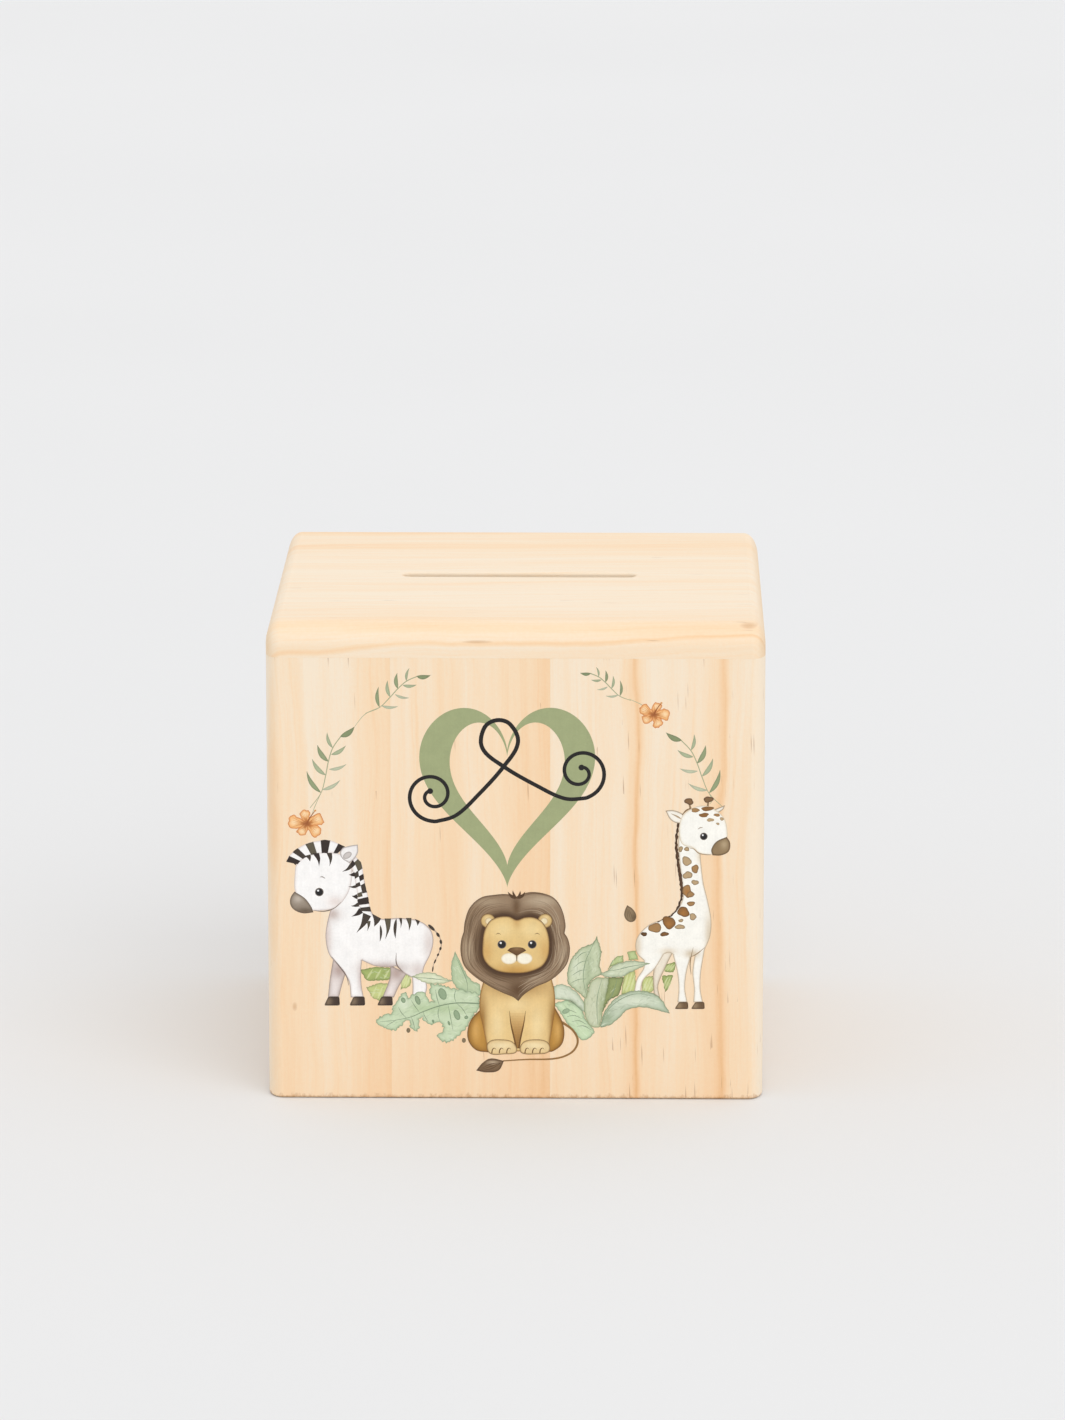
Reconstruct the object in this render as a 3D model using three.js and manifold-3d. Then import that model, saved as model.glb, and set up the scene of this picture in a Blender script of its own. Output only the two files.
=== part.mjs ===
// A wooden money box: a pine cube with softened edges and a coin slot in its top.
// Millimetres, +Z up. The front faces -Y, and the origin is the centre of the footprint.
// Every board is glued up from three staves. A plywood base sits in a groove round the walls,
// and a plywood flap under it swings on a screw to uncover the hole that the coins come out of.
import * as THREE from 'three';
import { RoundedBoxGeometry } from 'three/addons/geometries/RoundedBoxGeometry.js';
import { mergeVertices } from 'three/addons/utils/BufferGeometryUtils.js';
import Module from 'manifold-3d';

const wasm = await Module();
wasm.setup();

// ---- Driving dimensions ----

const WIDTH = 100; // along X
const DEPTH = 100; // along Y
const HEIGHT = 98; // along Z
const BOARD = 7; // thickness of every pine board

// The outer edges are rounded as quarter ellipses with these semi-axes along X, Y and Z.
const ROUND_X = 3;
const ROUND_Y = 5;
const ROUND_Z = 5;
const ROUND_STEPS = 8;

const SLOT_LENGTH = 48;
const SLOT_WIDTH = 4.5;

// Widths of the three staves of each board: the top from front to back, the front and back walls
// from left to right, and the side walls from front to back.
const TOP_STAVES = [18, 51, 31];
const FRONT_STAVES = [25, 32, 43];
const BACK_STAVES = [38, 34, 28];
const SIDE_STAVES = [27, 33, 26];

const BASE_UNDERSIDE = 8; // height of the base board's underside above the table
const BASE_THICKNESS = 4;
const BASE_PLAY = 0.15; // gap between the base board and its groove
const GROOVE_DEPTH = 3;

const ACCESS_HOLE_RADIUS = 15.5;
const HOLE_CENTRE = [-8, -8];
const FLAP_THICKNESS = 3;
const FLAP_GAP = 0.3; // between the flap and the base board above it
const FLAP_RADIUS = 19.5; // the round end that covers the access hole
const PIVOT_CENTRE = [33, -24];
const PIVOT_END_RADIUS = 7.5;
const LATCH_REACH = 21; // from the access hole's centre to the latch screw
const LATCH_EAR_RADIUS = 7.5;
const NOTCH_RADIUS = 1.9; // where the notch closes round the latch screw
const NOTCH_MOUTH_RADIUS = 3; // half the notch's width where it has run out of the flap

const SCREW_RADIUS = 1.5;
const SCREW_LENGTH = 7.6; // under the head
const SCREW_POINT = 2;
const SCREW_HEAD_RADIUS = 2.8;
const SCREW_HEAD_HEIGHT = 1.8;
const RECESS_LENGTH = 3.2; // cross recess in the head
const RECESS_WIDTH = 0.7;
const RECESS_DEPTH = 1.1;
const PILOT_RADIUS = 1.65;
const FLAP_BORE_RADIUS = 1.6;
const WASHER_RADIUS = 3.6;
const WASHER_BORE_RADIUS = 1.7;
const WASHER_THICKNESS = 0.6;
const WASHER_GAP = 0.1; // between the washer and the flap

const ROUND_SIDES = 32; // facets of a full circle

// ---- Dimensions worked out from the ones above ----

const WALL_TOP = HEIGHT - BOARD;
const INNER_X = WIDTH / 2 - BOARD;
const INNER_Y = DEPTH / 2 - BOARD;
const FLAP_TOP = BASE_UNDERSIDE - FLAP_GAP;
const FLAP_UNDERSIDE = FLAP_TOP - FLAP_THICKNESS;
const WASHER_TOP = FLAP_UNDERSIDE - WASHER_GAP;
const HEAD_TOP = WASHER_TOP - WASHER_THICKNESS;
const LATCH_CENTRE = latchCentre();

// The latch screw stands beside the access hole, square to the line from the pivot to the hole,
// on the side that the flap leaves first.
function latchCentre() {
  const dx = HOLE_CENTRE[0] - PIVOT_CENTRE[0];
  const dy = HOLE_CENTRE[1] - PIVOT_CENTRE[1];
  const scale = LATCH_REACH / Math.hypot(dx, dy);
  return [HOLE_CENTRE[0] - dy * scale, HOLE_CENTRE[1] + dx * scale];
}

// ---- Materials ----

const wood = (colour) => new THREE.MeshStandardMaterial({ color: colour, roughness: 0.62, metalness: 0 });
const pine = wood(0xf7dcb8);
const plywood = wood(0xe2c290);
const steel = new THREE.MeshStandardMaterial({ color: 0xc9c6bd, roughness: 0.32, metalness: 1 });

// ---- Solids: joining and cutting ----

function solidOf(geometry) {
  const bare = geometry.index ? geometry.toNonIndexed() : geometry.clone();
  bare.deleteAttribute('normal');
  bare.deleteAttribute('uv');
  const merged = mergeVertices(bare, 1e-4);
  return new wasm.Manifold(
    new wasm.Mesh({
      numProp: 3,
      vertProperties: merged.attributes.position.array,
      triVerts: new Uint32Array(merged.index.array),
    }),
  );
}

function geometryOf(solid) {
  const mesh = solid.getMesh();
  return new THREE.BufferGeometry()
    .setAttribute('position', new THREE.BufferAttribute(mesh.vertProperties, 3))
    .setIndex(new THREE.BufferAttribute(mesh.triVerts, 1));
}

// A block between two corners.
function block(low, high) {
  const size = high.map((value, i) => value - low[i]);
  const centre = high.map((value, i) => (value + low[i]) / 2);
  return solidOf(new THREE.BoxGeometry(...size).translate(...centre));
}

// A flat outline raised from one height to another.
function slab(shape, low, high) {
  const options = { depth: high - low, bevelEnabled: false, curveSegments: ROUND_SIDES };
  return solidOf(new THREE.ExtrudeGeometry(shape, options).translate(0, 0, low));
}

// An upright cylinder between two heights.
function post([x, y], radius, low, high) {
  const upright = new THREE.CylinderGeometry(radius, radius, high - low, ROUND_SIDES).rotateX(Math.PI / 2);
  return solidOf(upright.translate(x, y, (low + high) / 2));
}

// The outline of two circles and the straight tangents between them.
function tangentOutline([ax, ay], aRadius, [bx, by], bRadius) {
  const along = Math.atan2(by - ay, bx - ax);
  const lean = Math.acos((aRadius - bRadius) / Math.hypot(bx - ax, by - ay));
  const shape = new THREE.Shape();
  shape.absarc(ax, ay, aRadius, along + lean, along - lean + 2 * Math.PI, false);
  shape.absarc(bx, by, bRadius, along - lean, along + lean, false);
  shape.closePath();
  return shape;
}

// ---- The boards ----

// The box's outer form. It runs as far below the table as above it, so that only the upright
// edges and the top are rounded.
function outerForm() {
  const unit = new RoundedBoxGeometry(
    WIDTH / ROUND_X,
    DEPTH / ROUND_Y,
    (2 * HEIGHT) / ROUND_Z,
    ROUND_STEPS,
    1,
  );
  return solidOf(unit.scale(ROUND_X, ROUND_Y, ROUND_Z));
}

// The groove that runs round the inside of the walls and holds the base board.
function baseGroove() {
  const reachX = INNER_X + GROOVE_DEPTH;
  const reachY = INNER_Y + GROOVE_DEPTH;
  return block(
    [-reachX, -reachY, BASE_UNDERSIDE - BASE_PLAY],
    [reachX, reachY, BASE_UNDERSIDE + BASE_THICKNESS + BASE_PLAY],
  );
}

function coinSlot() {
  const radius = SLOT_WIDTH / 2;
  const reach = SLOT_LENGTH / 2 - radius;
  const outline = tangentOutline([-reach, 0], radius, [reach, 0], radius);
  return slab(outline, WALL_TOP - 1, HEIGHT + 1);
}

// Each stave is a straight slice of a board, trimmed by the outer form and cut by the slot and the groove.
// axis is the axis that the staves lie side by side along, and low and high are the board's corners.
function staves(names, widths, axis, low, high, cutter) {
  const form = outerForm();
  let start = low[axis];
  return names.map((name, i) => {
    const from = [...low];
    const to = [...high];
    from[axis] = start;
    to[axis] = start + widths[i];
    start = to[axis];
    const solid = block(from, to).intersect(form).subtract(cutter);
    return named(name, geometryOf(solid), pine);
  });
}

function boards() {
  const halfX = WIDTH / 2;
  const halfY = DEPTH / 2;
  const groove = baseGroove();
  return [
    ...staves(
      ['top_front_stave', 'top_middle_stave', 'top_back_stave'],
      TOP_STAVES, 1, [-halfX, -halfY, WALL_TOP], [halfX, halfY, HEIGHT], coinSlot(),
    ),
    ...staves(
      ['front_left_stave', 'front_middle_stave', 'front_right_stave'],
      FRONT_STAVES, 0, [-halfX, -halfY, 0], [halfX, -INNER_Y, WALL_TOP], groove,
    ),
    ...staves(
      ['back_left_stave', 'back_middle_stave', 'back_right_stave'],
      BACK_STAVES, 0, [-halfX, INNER_Y, 0], [halfX, halfY, WALL_TOP], groove,
    ),
    ...staves(
      ['left_front_stave', 'left_middle_stave', 'left_back_stave'],
      SIDE_STAVES, 1, [-halfX, -INNER_Y, 0], [-INNER_X, INNER_Y, WALL_TOP], groove,
    ),
    ...staves(
      ['right_front_stave', 'right_middle_stave', 'right_back_stave'],
      SIDE_STAVES, 1, [INNER_X, -INNER_Y, 0], [halfX, INNER_Y, WALL_TOP], groove,
    ),
  ];
}

function baseBoard() {
  const reachX = INNER_X + GROOVE_DEPTH - BASE_PLAY;
  const reachY = INNER_Y + GROOVE_DEPTH - BASE_PLAY;
  const top = BASE_UNDERSIDE + BASE_THICKNESS;
  const below = BASE_UNDERSIDE - 1;
  const above = top + 1;
  const solid = block([-reachX, -reachY, BASE_UNDERSIDE], [reachX, reachY, top])
    .subtract(post(HOLE_CENTRE, ACCESS_HOLE_RADIUS, below, above))
    .subtract(post(PIVOT_CENTRE, PILOT_RADIUS, below, above))
    .subtract(post(LATCH_CENTRE, PILOT_RADIUS, below, above));
  return named('base_board', geometryOf(solid), plywood);
}

// ---- The access flap and its screws ----

// The notch that lets the flap slide off the latch screw: it starts round the screw and runs
// out through the ear, square to the line from the pivot to the screw.
function latchNotch() {
  const dx = LATCH_CENTRE[0] - PIVOT_CENTRE[0];
  const dy = LATCH_CENTRE[1] - PIVOT_CENTRE[1];
  const scale = (2 * LATCH_EAR_RADIUS) / Math.hypot(dx, dy);
  const outside = [LATCH_CENTRE[0] - dy * scale, LATCH_CENTRE[1] + dx * scale];
  const outline = tangentOutline(LATCH_CENTRE, NOTCH_RADIUS, outside, NOTCH_MOUTH_RADIUS);
  return slab(outline, FLAP_UNDERSIDE - 1, FLAP_TOP + 1);
}

function accessFlap() {
  const arm = tangentOutline(HOLE_CENTRE, FLAP_RADIUS, PIVOT_CENTRE, PIVOT_END_RADIUS);
  const ear = tangentOutline(HOLE_CENTRE, FLAP_RADIUS, LATCH_CENTRE, LATCH_EAR_RADIUS);
  const solid = slab(arm, FLAP_UNDERSIDE, FLAP_TOP)
    .add(slab(ear, FLAP_UNDERSIDE, FLAP_TOP))
    .subtract(post(PIVOT_CENTRE, FLAP_BORE_RADIUS, FLAP_UNDERSIDE - 1, FLAP_TOP + 1))
    .subtract(latchNotch());
  return named('access_flap', geometryOf(solid), plywood);
}

// A pan-head wood screw, head down. Its own origin is at the centre of the head's flat side.
function screw(name) {
  const dome = new THREE.Vector2(SCREW_HEAD_RADIUS * 0.62, -SCREW_HEAD_HEIGHT);
  const profile = [
    new THREE.Vector2(0, -SCREW_HEAD_HEIGHT),
    dome,
    new THREE.Vector2(SCREW_HEAD_RADIUS * 0.9, -SCREW_HEAD_HEIGHT * 0.72),
    new THREE.Vector2(SCREW_HEAD_RADIUS, -SCREW_HEAD_HEIGHT * 0.3),
    new THREE.Vector2(SCREW_HEAD_RADIUS, 0),
    new THREE.Vector2(SCREW_RADIUS, 0),
    new THREE.Vector2(SCREW_RADIUS, SCREW_LENGTH - SCREW_POINT),
    new THREE.Vector2(0, SCREW_LENGTH),
  ];
  const body = solidOf(new THREE.LatheGeometry(profile, ROUND_SIDES).rotateX(Math.PI / 2));
  const reach = RECESS_LENGTH / 2;
  const half = RECESS_WIDTH / 2;
  const floor = RECESS_DEPTH - SCREW_HEAD_HEIGHT;
  const solid = body
    .subtract(block([-reach, -half, -SCREW_HEAD_HEIGHT - 1], [reach, half, floor]))
    .subtract(block([-half, -reach, -SCREW_HEAD_HEIGHT - 1], [half, reach, floor]));
  return named(name, geometryOf(solid), steel);
}

// A flat washer. Its own origin is at the centre of its underside.
function washer(name) {
  const profile = [
    new THREE.Vector2(WASHER_BORE_RADIUS, 0),
    new THREE.Vector2(WASHER_RADIUS, 0),
    new THREE.Vector2(WASHER_RADIUS, WASHER_THICKNESS),
    new THREE.Vector2(WASHER_BORE_RADIUS, WASHER_THICKNESS),
    new THREE.Vector2(WASHER_BORE_RADIUS, 0),
  ];
  return named(name, new THREE.LatheGeometry(profile, ROUND_SIDES).rotateX(Math.PI / 2), steel);
}

// A screw with its washer, standing with the head's flat side on the washer.
function fastener(name, [x, y]) {
  const group = new THREE.Group();
  group.position.set(x, y, HEAD_TOP);
  group.add(screw(name + '_screw'), washer(name + '_washer'));
  return group;
}

// ---- The whole box ----

function named(name, geometry, material) {
  const mesh = new THREE.Mesh(geometry, material);
  mesh.name = name;
  return mesh;
}

const moneyBox = new THREE.Group();
moneyBox.add(
  ...boards(),
  baseBoard(),
  accessFlap(),
  fastener('pivot', PIVOT_CENTRE),
  fastener('latch', LATCH_CENTRE),
);

export default moneyBox;
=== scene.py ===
"""A pine money box with a printed nursery picture, on a pale studio floor.

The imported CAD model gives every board's place and size. This script gives the boards eased edges and
pine grain, the hardware its metal, and the front wall its picture, laid on as thin films of ink.
"""
import math
import random
from collections import namedtuple

import bmesh
import bpy
import numpy as np
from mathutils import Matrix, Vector
from mathutils.geometry import delaunay_2d_cdt, interpolate_bezier


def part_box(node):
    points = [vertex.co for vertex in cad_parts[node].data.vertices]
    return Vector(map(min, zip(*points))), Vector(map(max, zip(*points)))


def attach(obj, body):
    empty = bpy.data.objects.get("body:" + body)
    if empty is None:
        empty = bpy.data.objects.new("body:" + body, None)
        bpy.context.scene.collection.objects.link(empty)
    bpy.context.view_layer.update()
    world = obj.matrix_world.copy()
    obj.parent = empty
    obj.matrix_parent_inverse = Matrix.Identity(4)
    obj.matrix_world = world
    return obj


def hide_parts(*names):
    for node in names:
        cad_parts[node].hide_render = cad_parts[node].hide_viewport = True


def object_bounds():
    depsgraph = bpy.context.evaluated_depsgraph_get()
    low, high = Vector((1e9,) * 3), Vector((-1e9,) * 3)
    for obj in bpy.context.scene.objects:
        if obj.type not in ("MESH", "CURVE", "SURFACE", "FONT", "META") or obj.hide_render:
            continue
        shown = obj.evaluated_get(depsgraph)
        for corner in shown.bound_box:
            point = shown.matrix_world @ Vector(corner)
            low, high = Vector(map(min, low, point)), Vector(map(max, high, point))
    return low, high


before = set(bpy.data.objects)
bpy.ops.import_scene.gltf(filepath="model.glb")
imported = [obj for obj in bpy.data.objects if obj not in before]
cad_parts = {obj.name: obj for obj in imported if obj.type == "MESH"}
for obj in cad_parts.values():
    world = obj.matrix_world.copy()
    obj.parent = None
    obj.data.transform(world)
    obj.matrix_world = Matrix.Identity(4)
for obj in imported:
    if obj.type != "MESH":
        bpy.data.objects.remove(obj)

CAD_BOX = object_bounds()
MM = 0.001  # one millimetre, in metres
X, Y, Z = 0, 1, 2
BOX_HEIGHT = CAD_BOX[1][Z] / MM

SCENE = bpy.context.scene


# ---------------------------------------------------------------- shader nodes


class Value:
    """What a node gives out. Arithmetic on it adds the node that does the sum."""

    def __init__(self, shader, socket):
        self.shader = shader
        self.socket = socket

    def __add__(self, other):
        return self.shader.math("ADD", self, other)

    def __sub__(self, other):
        return self.shader.math("SUBTRACT", self, other)

    def __mul__(self, other):
        return self.shader.math("MULTIPLY", self, other)

    def __truediv__(self, other):
        return self.shader.math("DIVIDE", self, other)

    def __abs__(self):
        return self.shader.math("ABSOLUTE", self)

    def range(self, low, high, to_low=0.0, to_high=1.0):
        """Carries the span from low to high onto the one from to_low to to_high, and stays inside that."""
        return self.shader.node("ShaderNodeMapRange", [self, low, high, to_low, to_high])


class Shader:
    """A material and short calls for the nodes that it is built from."""

    def __init__(self, name, roughness=0.6, metallic=0.0, specular=0.5):
        self.material = bpy.data.materials.new(name)
        self.material.use_nodes = True
        self.tree = self.material.node_tree
        self.surface = self.tree.nodes["Principled BSDF"].inputs
        self.surface["Roughness"].default_value = roughness
        self.surface["Metallic"].default_value = metallic
        self.surface["Specular IOR Level"].default_value = specular
        self.place = self.node("ShaderNodeTexCoord", output="Object")
        in_mm = self.node("ShaderNodeVectorMath", {0: self.place, "Scale": 1 / MM}, operation="SCALE")
        self.axes = self.split(in_mm)
        self.facing = self.split(self.also(self.place, "Normal"))

    def node(self, kind, feeds=(), output=0, **settings):
        """Adds a node and feeds its sockets, in their order or by their names. Gives one of its outputs."""
        node = self.tree.nodes.new(kind)
        for name, value in settings.items():
            setattr(node, name, value)
        for key, value in feeds.items() if isinstance(feeds, dict) else enumerate(feeds):
            self.feed(node.inputs[key], value)
        return Value(self, node.outputs[output])

    def also(self, value, output):
        """Another output of the node that a value comes from."""
        return Value(self, value.socket.node.outputs[output])

    def feed(self, socket, value):
        if isinstance(value, Value):
            self.tree.links.new(value.socket, socket)
        else:
            socket.default_value = value

    def math(self, operation, *values, clamp=False):
        return self.node("ShaderNodeMath", values, operation=operation, use_clamp=clamp)

    def moved(self, vector, distance):
        return self.node("ShaderNodeVectorMath", [vector, (distance, distance, distance)], operation="ADD")

    def split(self, vector):
        first = self.node("ShaderNodeSeparateXYZ", [vector])
        return [self.also(first, axis) for axis in (X, Y, Z)]

    def join(self, x, y, z):
        return self.node("ShaderNodeCombineXYZ", [x, y, z])

    def noise(self, vector, scale=1.0, detail=2.0, roughness=0.5):
        feeds = {"Vector": vector, "Scale": scale, "Detail": detail, "Roughness": roughness}
        return self.node("ShaderNodeTexNoise", feeds, "Fac")

    def cells(self, vector):
        """How far the nearest of many scattered points is, and a random colour that the point has."""
        near = self.node("ShaderNodeTexVoronoi", {"Vector": vector, "Scale": 1.0}, "Distance")
        return near, self.also(near, "Color")

    def mix(self, share, a, b, blend="MIX"):
        feeds = {"Factor": share, 6: a, 7: b}
        return self.node("ShaderNodeMix", feeds, 2, data_type="RGBA", blend_type=blend)

    def ramp(self, share, stops):
        """stops are (position, value) in rising order, where a value is a number or a colour."""
        shade = self.node("ShaderNodeValToRGB", [share], "Color")
        elements = shade.socket.node.color_ramp.elements
        while len(elements) < len(stops):
            elements.new(1.0)
        for element, (position, value) in zip(elements, stops):
            element.position = position
            element.color = value if hasattr(value, "__len__") else (value, value, value, 1)
        return shade

    def colour(self, value):
        self.feed(self.surface["Base Color"], value)

    def gloss(self, value):
        self.feed(self.surface["Roughness"], value)

    def bump(self, height, depth_mm, strength):
        feeds = {"Distance": depth_mm * MM, "Strength": strength, "Height": height}
        self.feed(self.surface["Normal"], self.node("ShaderNodeBump", feeds))


def linear(red, green, blue):
    """A display colour, 0 to 255, as the linear colour that shaders use."""

    def one(value):
        share = value / 255
        return share / 12.92 if share <= 0.04045 else ((share + 0.055) / 1.055) ** 2.4

    return (one(red), one(green), one(blue), 1.0)


# ---------------------------------------------------------------- wood and metal

# Pine from its palest early wood to its darkest growth line.
PINE_TONES = [
    (0.00, linear(245, 228, 204)), (0.22, linear(246, 218, 183)), (0.45, linear(244, 206, 163)),
    (0.72, linear(235, 187, 136)), (1.00, linear(208, 147, 92)),
]
RESIN = linear(150, 98, 62)
END_GRAIN = linear(236, 204, 162)
END_RINGS = linear(206, 160, 110)
STAIN = linear(190, 138, 84)

VENEER_TONES = [(0.0, linear(232, 204, 160)), (0.5, linear(222, 188, 140)), (1.0, linear(202, 160, 108))]
VENEER_EDGE = linear(196, 150, 100)
CORE_DARK, CORE_PALE = linear(168, 120, 76), linear(206, 164, 116)

ZINC_TONES = [(0.3, linear(176, 176, 172)), (0.55, linear(205, 204, 198)), (0.8, linear(216, 211, 196))]

# How a board's wood lies: its grain, across and thickness axes, and where its outer side is. lean is how
# far the rings shift across for each millimetre of depth, and tilt for each along the grain. fade is how
# much the tone changes from the middle to the far end of the grain. On the front wall it is partly
# painted light: the wall is painted lighter at the top and darker at the bottom.
Board = namedtuple("Board", "grain across depth outside lean tilt fade", defaults=(0.8, 0.0, 0.0))


def pine(name, board, tones, seed, resin, stains):
    """Pine for one stave. tones are (place across the stave in millimetres, tone from 0 to 1).

    resin is the share of the wood that shows resin canals, and stains are (x, z, half width, half height).
    """
    s = Shader(name)
    along, across, depth = s.axes[board.grain], s.axes[board.across], s.axes[board.depth]
    shift = seed * 37.0
    inward = abs(depth - board.outside)
    fibre = s.noise(s.join(along * 0.10, across * 2.6, depth * 2.6), detail=3.0, roughness=0.6)
    pore = s.noise(s.place, scale=2600.0)
    level = growth_rings(s, board, tones, shift, inward)
    # Deeper inside, the wood is painted paler: painted light on the shaded walls of the slot and the box.
    level = level - inward.range(0.6, 3.0, 0.0, 0.2)
    speckle = s.noise(s.place, scale=1500.0, detail=3.0)
    level = level + speckle.range(0.3, 0.7, -0.03, 0.03)
    level = s.math("ADD", level, fibre.range(0.2, 0.8, -0.036, 0.036), clamp=True)
    colour = s.ramp(level, PINE_TONES)
    dash, strength = resin_dashes(s, along, across, depth, shift, resin)
    colour = s.mix(dash * strength, colour, RESIN)
    for x, z, wide, high in stains:
        away_x, away_z = (s.axes[X] - x) / wide, (s.axes[Z] - z) / high
        away = away_x * away_x + away_z * away_z + fibre.range(0.2, 0.8, -0.4, 0.4)
        colour = s.mix(away.range(0.0, 1.3, 0.42, 0.0), colour, STAIN)
    # The walls are darker along their feet, in a band under a millimetre high with a ragged top.
    foot_raggedness = s.noise(s.join(across * 0.8, depth * 0.8, along * 0.4), detail=4.0, roughness=0.7)
    foot = s.axes[Z] + foot_raggedness.range(0.3, 0.7, -0.9, 0.9)
    colour = s.mix(foot.range(-0.2, 0.8, 0.6, 0.0), colour, STAIN)
    # Cut across the grain, the rings stand out on darker, finely pored wood.
    ends = abs(s.facing[board.grain]).range(0.66, 0.98)
    cut = s.mix(level.range(0.1, 0.8), END_GRAIN, END_RINGS)
    cut = s.mix(pore.range(0.4, 0.7, 0.0, 0.35), cut, PINE_TONES[0][1])
    s.colour(s.mix(ends * 0.75, colour, cut))
    s.gloss(fibre.range(0.2, 0.8, 0.52, 0.70))
    s.bump(fibre + pore * ends - dash, 0.03, 0.5)
    return s.material


def growth_rings(s, board, tones, shift, inward):
    """The tone that the rings give. They run with the grain, wander, and lean through the thickness."""
    along, across = s.axes[board.grain], s.axes[board.across]
    drift = s.noise(s.join(along * 0.012, across * 0.03, shift), detail=3.0)
    flutter = s.noise(s.join(along * 0.045, across * 0.16, shift + 9), detail=3.0)
    ring = across + inward * board.lean + along * board.tilt
    ring = ring + drift.range(0.2, 0.8, -2.2, 2.2) + flutter.range(0.2, 0.8, -0.65, 0.65)
    low, high = tones[0][0], tones[-1][0]
    level = s.ramp(ring.range(low, high), [((place - low) / (high - low), value) for place, value in tones])
    # Long soft streaks and thin growth lines lie over the broad tones.
    streak = s.noise(s.join(along * 0.014, ring * 0.4, shift + 21), detail=4.0, roughness=0.62)
    line = s.noise(s.join(along * 0.02, ring * 1.5, shift + 33))
    level = level + streak.range(0.25, 0.75, -0.12, 0.12) + line.range(0.55, 0.8, 0.0, 0.12)
    # Along the grain the tone changes by fade. On the front wall this is partly painted light, lighter at the
    # top.
    return level + along.range(0, BOX_HEIGHT, -board.fade, board.fade)


def resin_dashes(s, along, across, depth, shift, share):
    """Resin canals, and how dark each one is: short dashes along the grain, in some places only."""
    slant = across + along * 0.03
    near, which = s.cells(s.moved(s.join(along * 0.11, slant * 2.2, depth * 2.2), shift))
    lot, size, _ = s.split(which)
    dash = near.range(0.03, size.range(0, 1, 0.14, 0.32), 1.0, 0.0)
    patch = s.noise(s.join(along * 0.05, across * 0.16, shift)).range(0.44, 0.7)
    return dash * s.math("LESS_THAN", lot, patch * share), size.range(0, 1, 0.35, 0.7)


def plywood(name, low, high):
    """Poplar plywood: a broad veneer figure on its faces, and three plies on its edges."""
    s = Shader(name)
    x, y, z = s.axes
    wander = s.noise(s.join(x * 0.02, y * 0.11, 3.0), detail=3.0).range(0, 1, -1.4, 1.4)
    bands = s.math("SINE", (y * 0.055 + wander) * 7.0)
    fibre = s.noise(s.join(x * 0.13, y * 2.4, z * 2.4), detail=3.0, roughness=0.6)
    speckle = s.noise(s.place, scale=1900.0)
    face = s.ramp(bands.range(-1, 1, 0.25, 0.62) + fibre.range(0.2, 0.8, -0.16, 0.16), VENEER_TONES)
    ply = (high - low) / 3
    in_core = abs(z - low - 1.5 * ply).range(0.44 * ply, 0.56 * ply, 1.0, 0.0)
    core = s.mix(speckle.range(0.35, 0.7), CORE_DARK, CORE_PALE)
    edge = s.mix(in_core, s.mix(0.5, face, VENEER_EDGE), core)
    s.colour(s.mix(abs(s.facing[Z]).range(0.4, 0.8), edge, face))
    s.gloss(fibre.range(0.2, 0.8, 0.55, 0.72))
    s.bump(fibre + speckle * 0.4, 0.04, 0.5)
    return s.material


def zinc(name, centre):
    """Zinc-plated steel with faint turning marks round a screw's own axis."""
    s = Shader(name, roughness=0.3, metallic=1.0)
    x, y = s.axes[X] - centre[0], s.axes[Y] - centre[1]
    radius = s.math("SQRT", x * x + y * y)
    turned = s.noise(s.join(radius * 9.0, 0.0, s.axes[Z] * 7.0))
    cloud = s.noise(s.place, scale=420.0, detail=3.0)
    s.colour(s.ramp(cloud, ZINC_TONES))
    s.gloss(cloud.range(0.3, 0.7, 0.24, 0.42))
    s.bump(turned, 0.02, 0.35)
    return s.material


# ---------------------------------------------------------------- boards and hardware

# All in millimetres.
JOINT_EASE = 0.025  # a glue line is sanded flush, and shows as a hairline
FOOT_EASE = 0.05  # the inner edges of the walls' feet
RIM_EASE = 0.45
SLOT_EASE = 0.5
SLOT_REACH = (26, 3)  # the coin slot stays within this much of the box's middle, across and along
RIM_REACH = 46.5  # an edge further out than this belongs to the outer rim
SCREW_EASE = 0.12
RECESS_REACH = 1.65  # a screw's cross recess stays within this much of its axis
WASHER_EASE = 0.08
PLY_EASE = 0.2
CROWDED = 0.35  # the points of a plate's outline are further apart than this
SHARP = math.radians(35)


def cad_copy(node):
    work = bmesh.new()
    work.from_mesh(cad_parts[node].data)
    bmesh.ops.remove_doubles(work, verts=work.verts, dist=0.002 * MM)
    work.normal_update()
    return work


def eased(node, ease, body, whole_faces=True):
    """A copy of a CAD node whose sharp edges are rounded. ease gives the rounding at an edge's middle.

    whole_faces joins the triangles of each flat face first, which suits faces that are round or square.
    """
    work = cad_copy(node)
    if whole_faces:
        bmesh.ops.dissolve_limit(work, angle_limit=math.radians(1), verts=work.verts, edges=work.edges)
    weight = work.edges.layers.float.new("bevel_weight_edge")
    widest = max(RIM_EASE, SLOT_EASE)
    for edge in work.edges:
        if len(edge.link_faces) == 2 and edge.calc_face_angle() > SHARP:
            edge[weight] = ease((edge.verts[0].co + edge.verts[1].co) / 2 / MM) / widest
    mesh = bpy.data.meshes.new(node)
    work.to_mesh(mesh)
    work.free()
    return dressed(mesh, node, body, widest)


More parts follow.
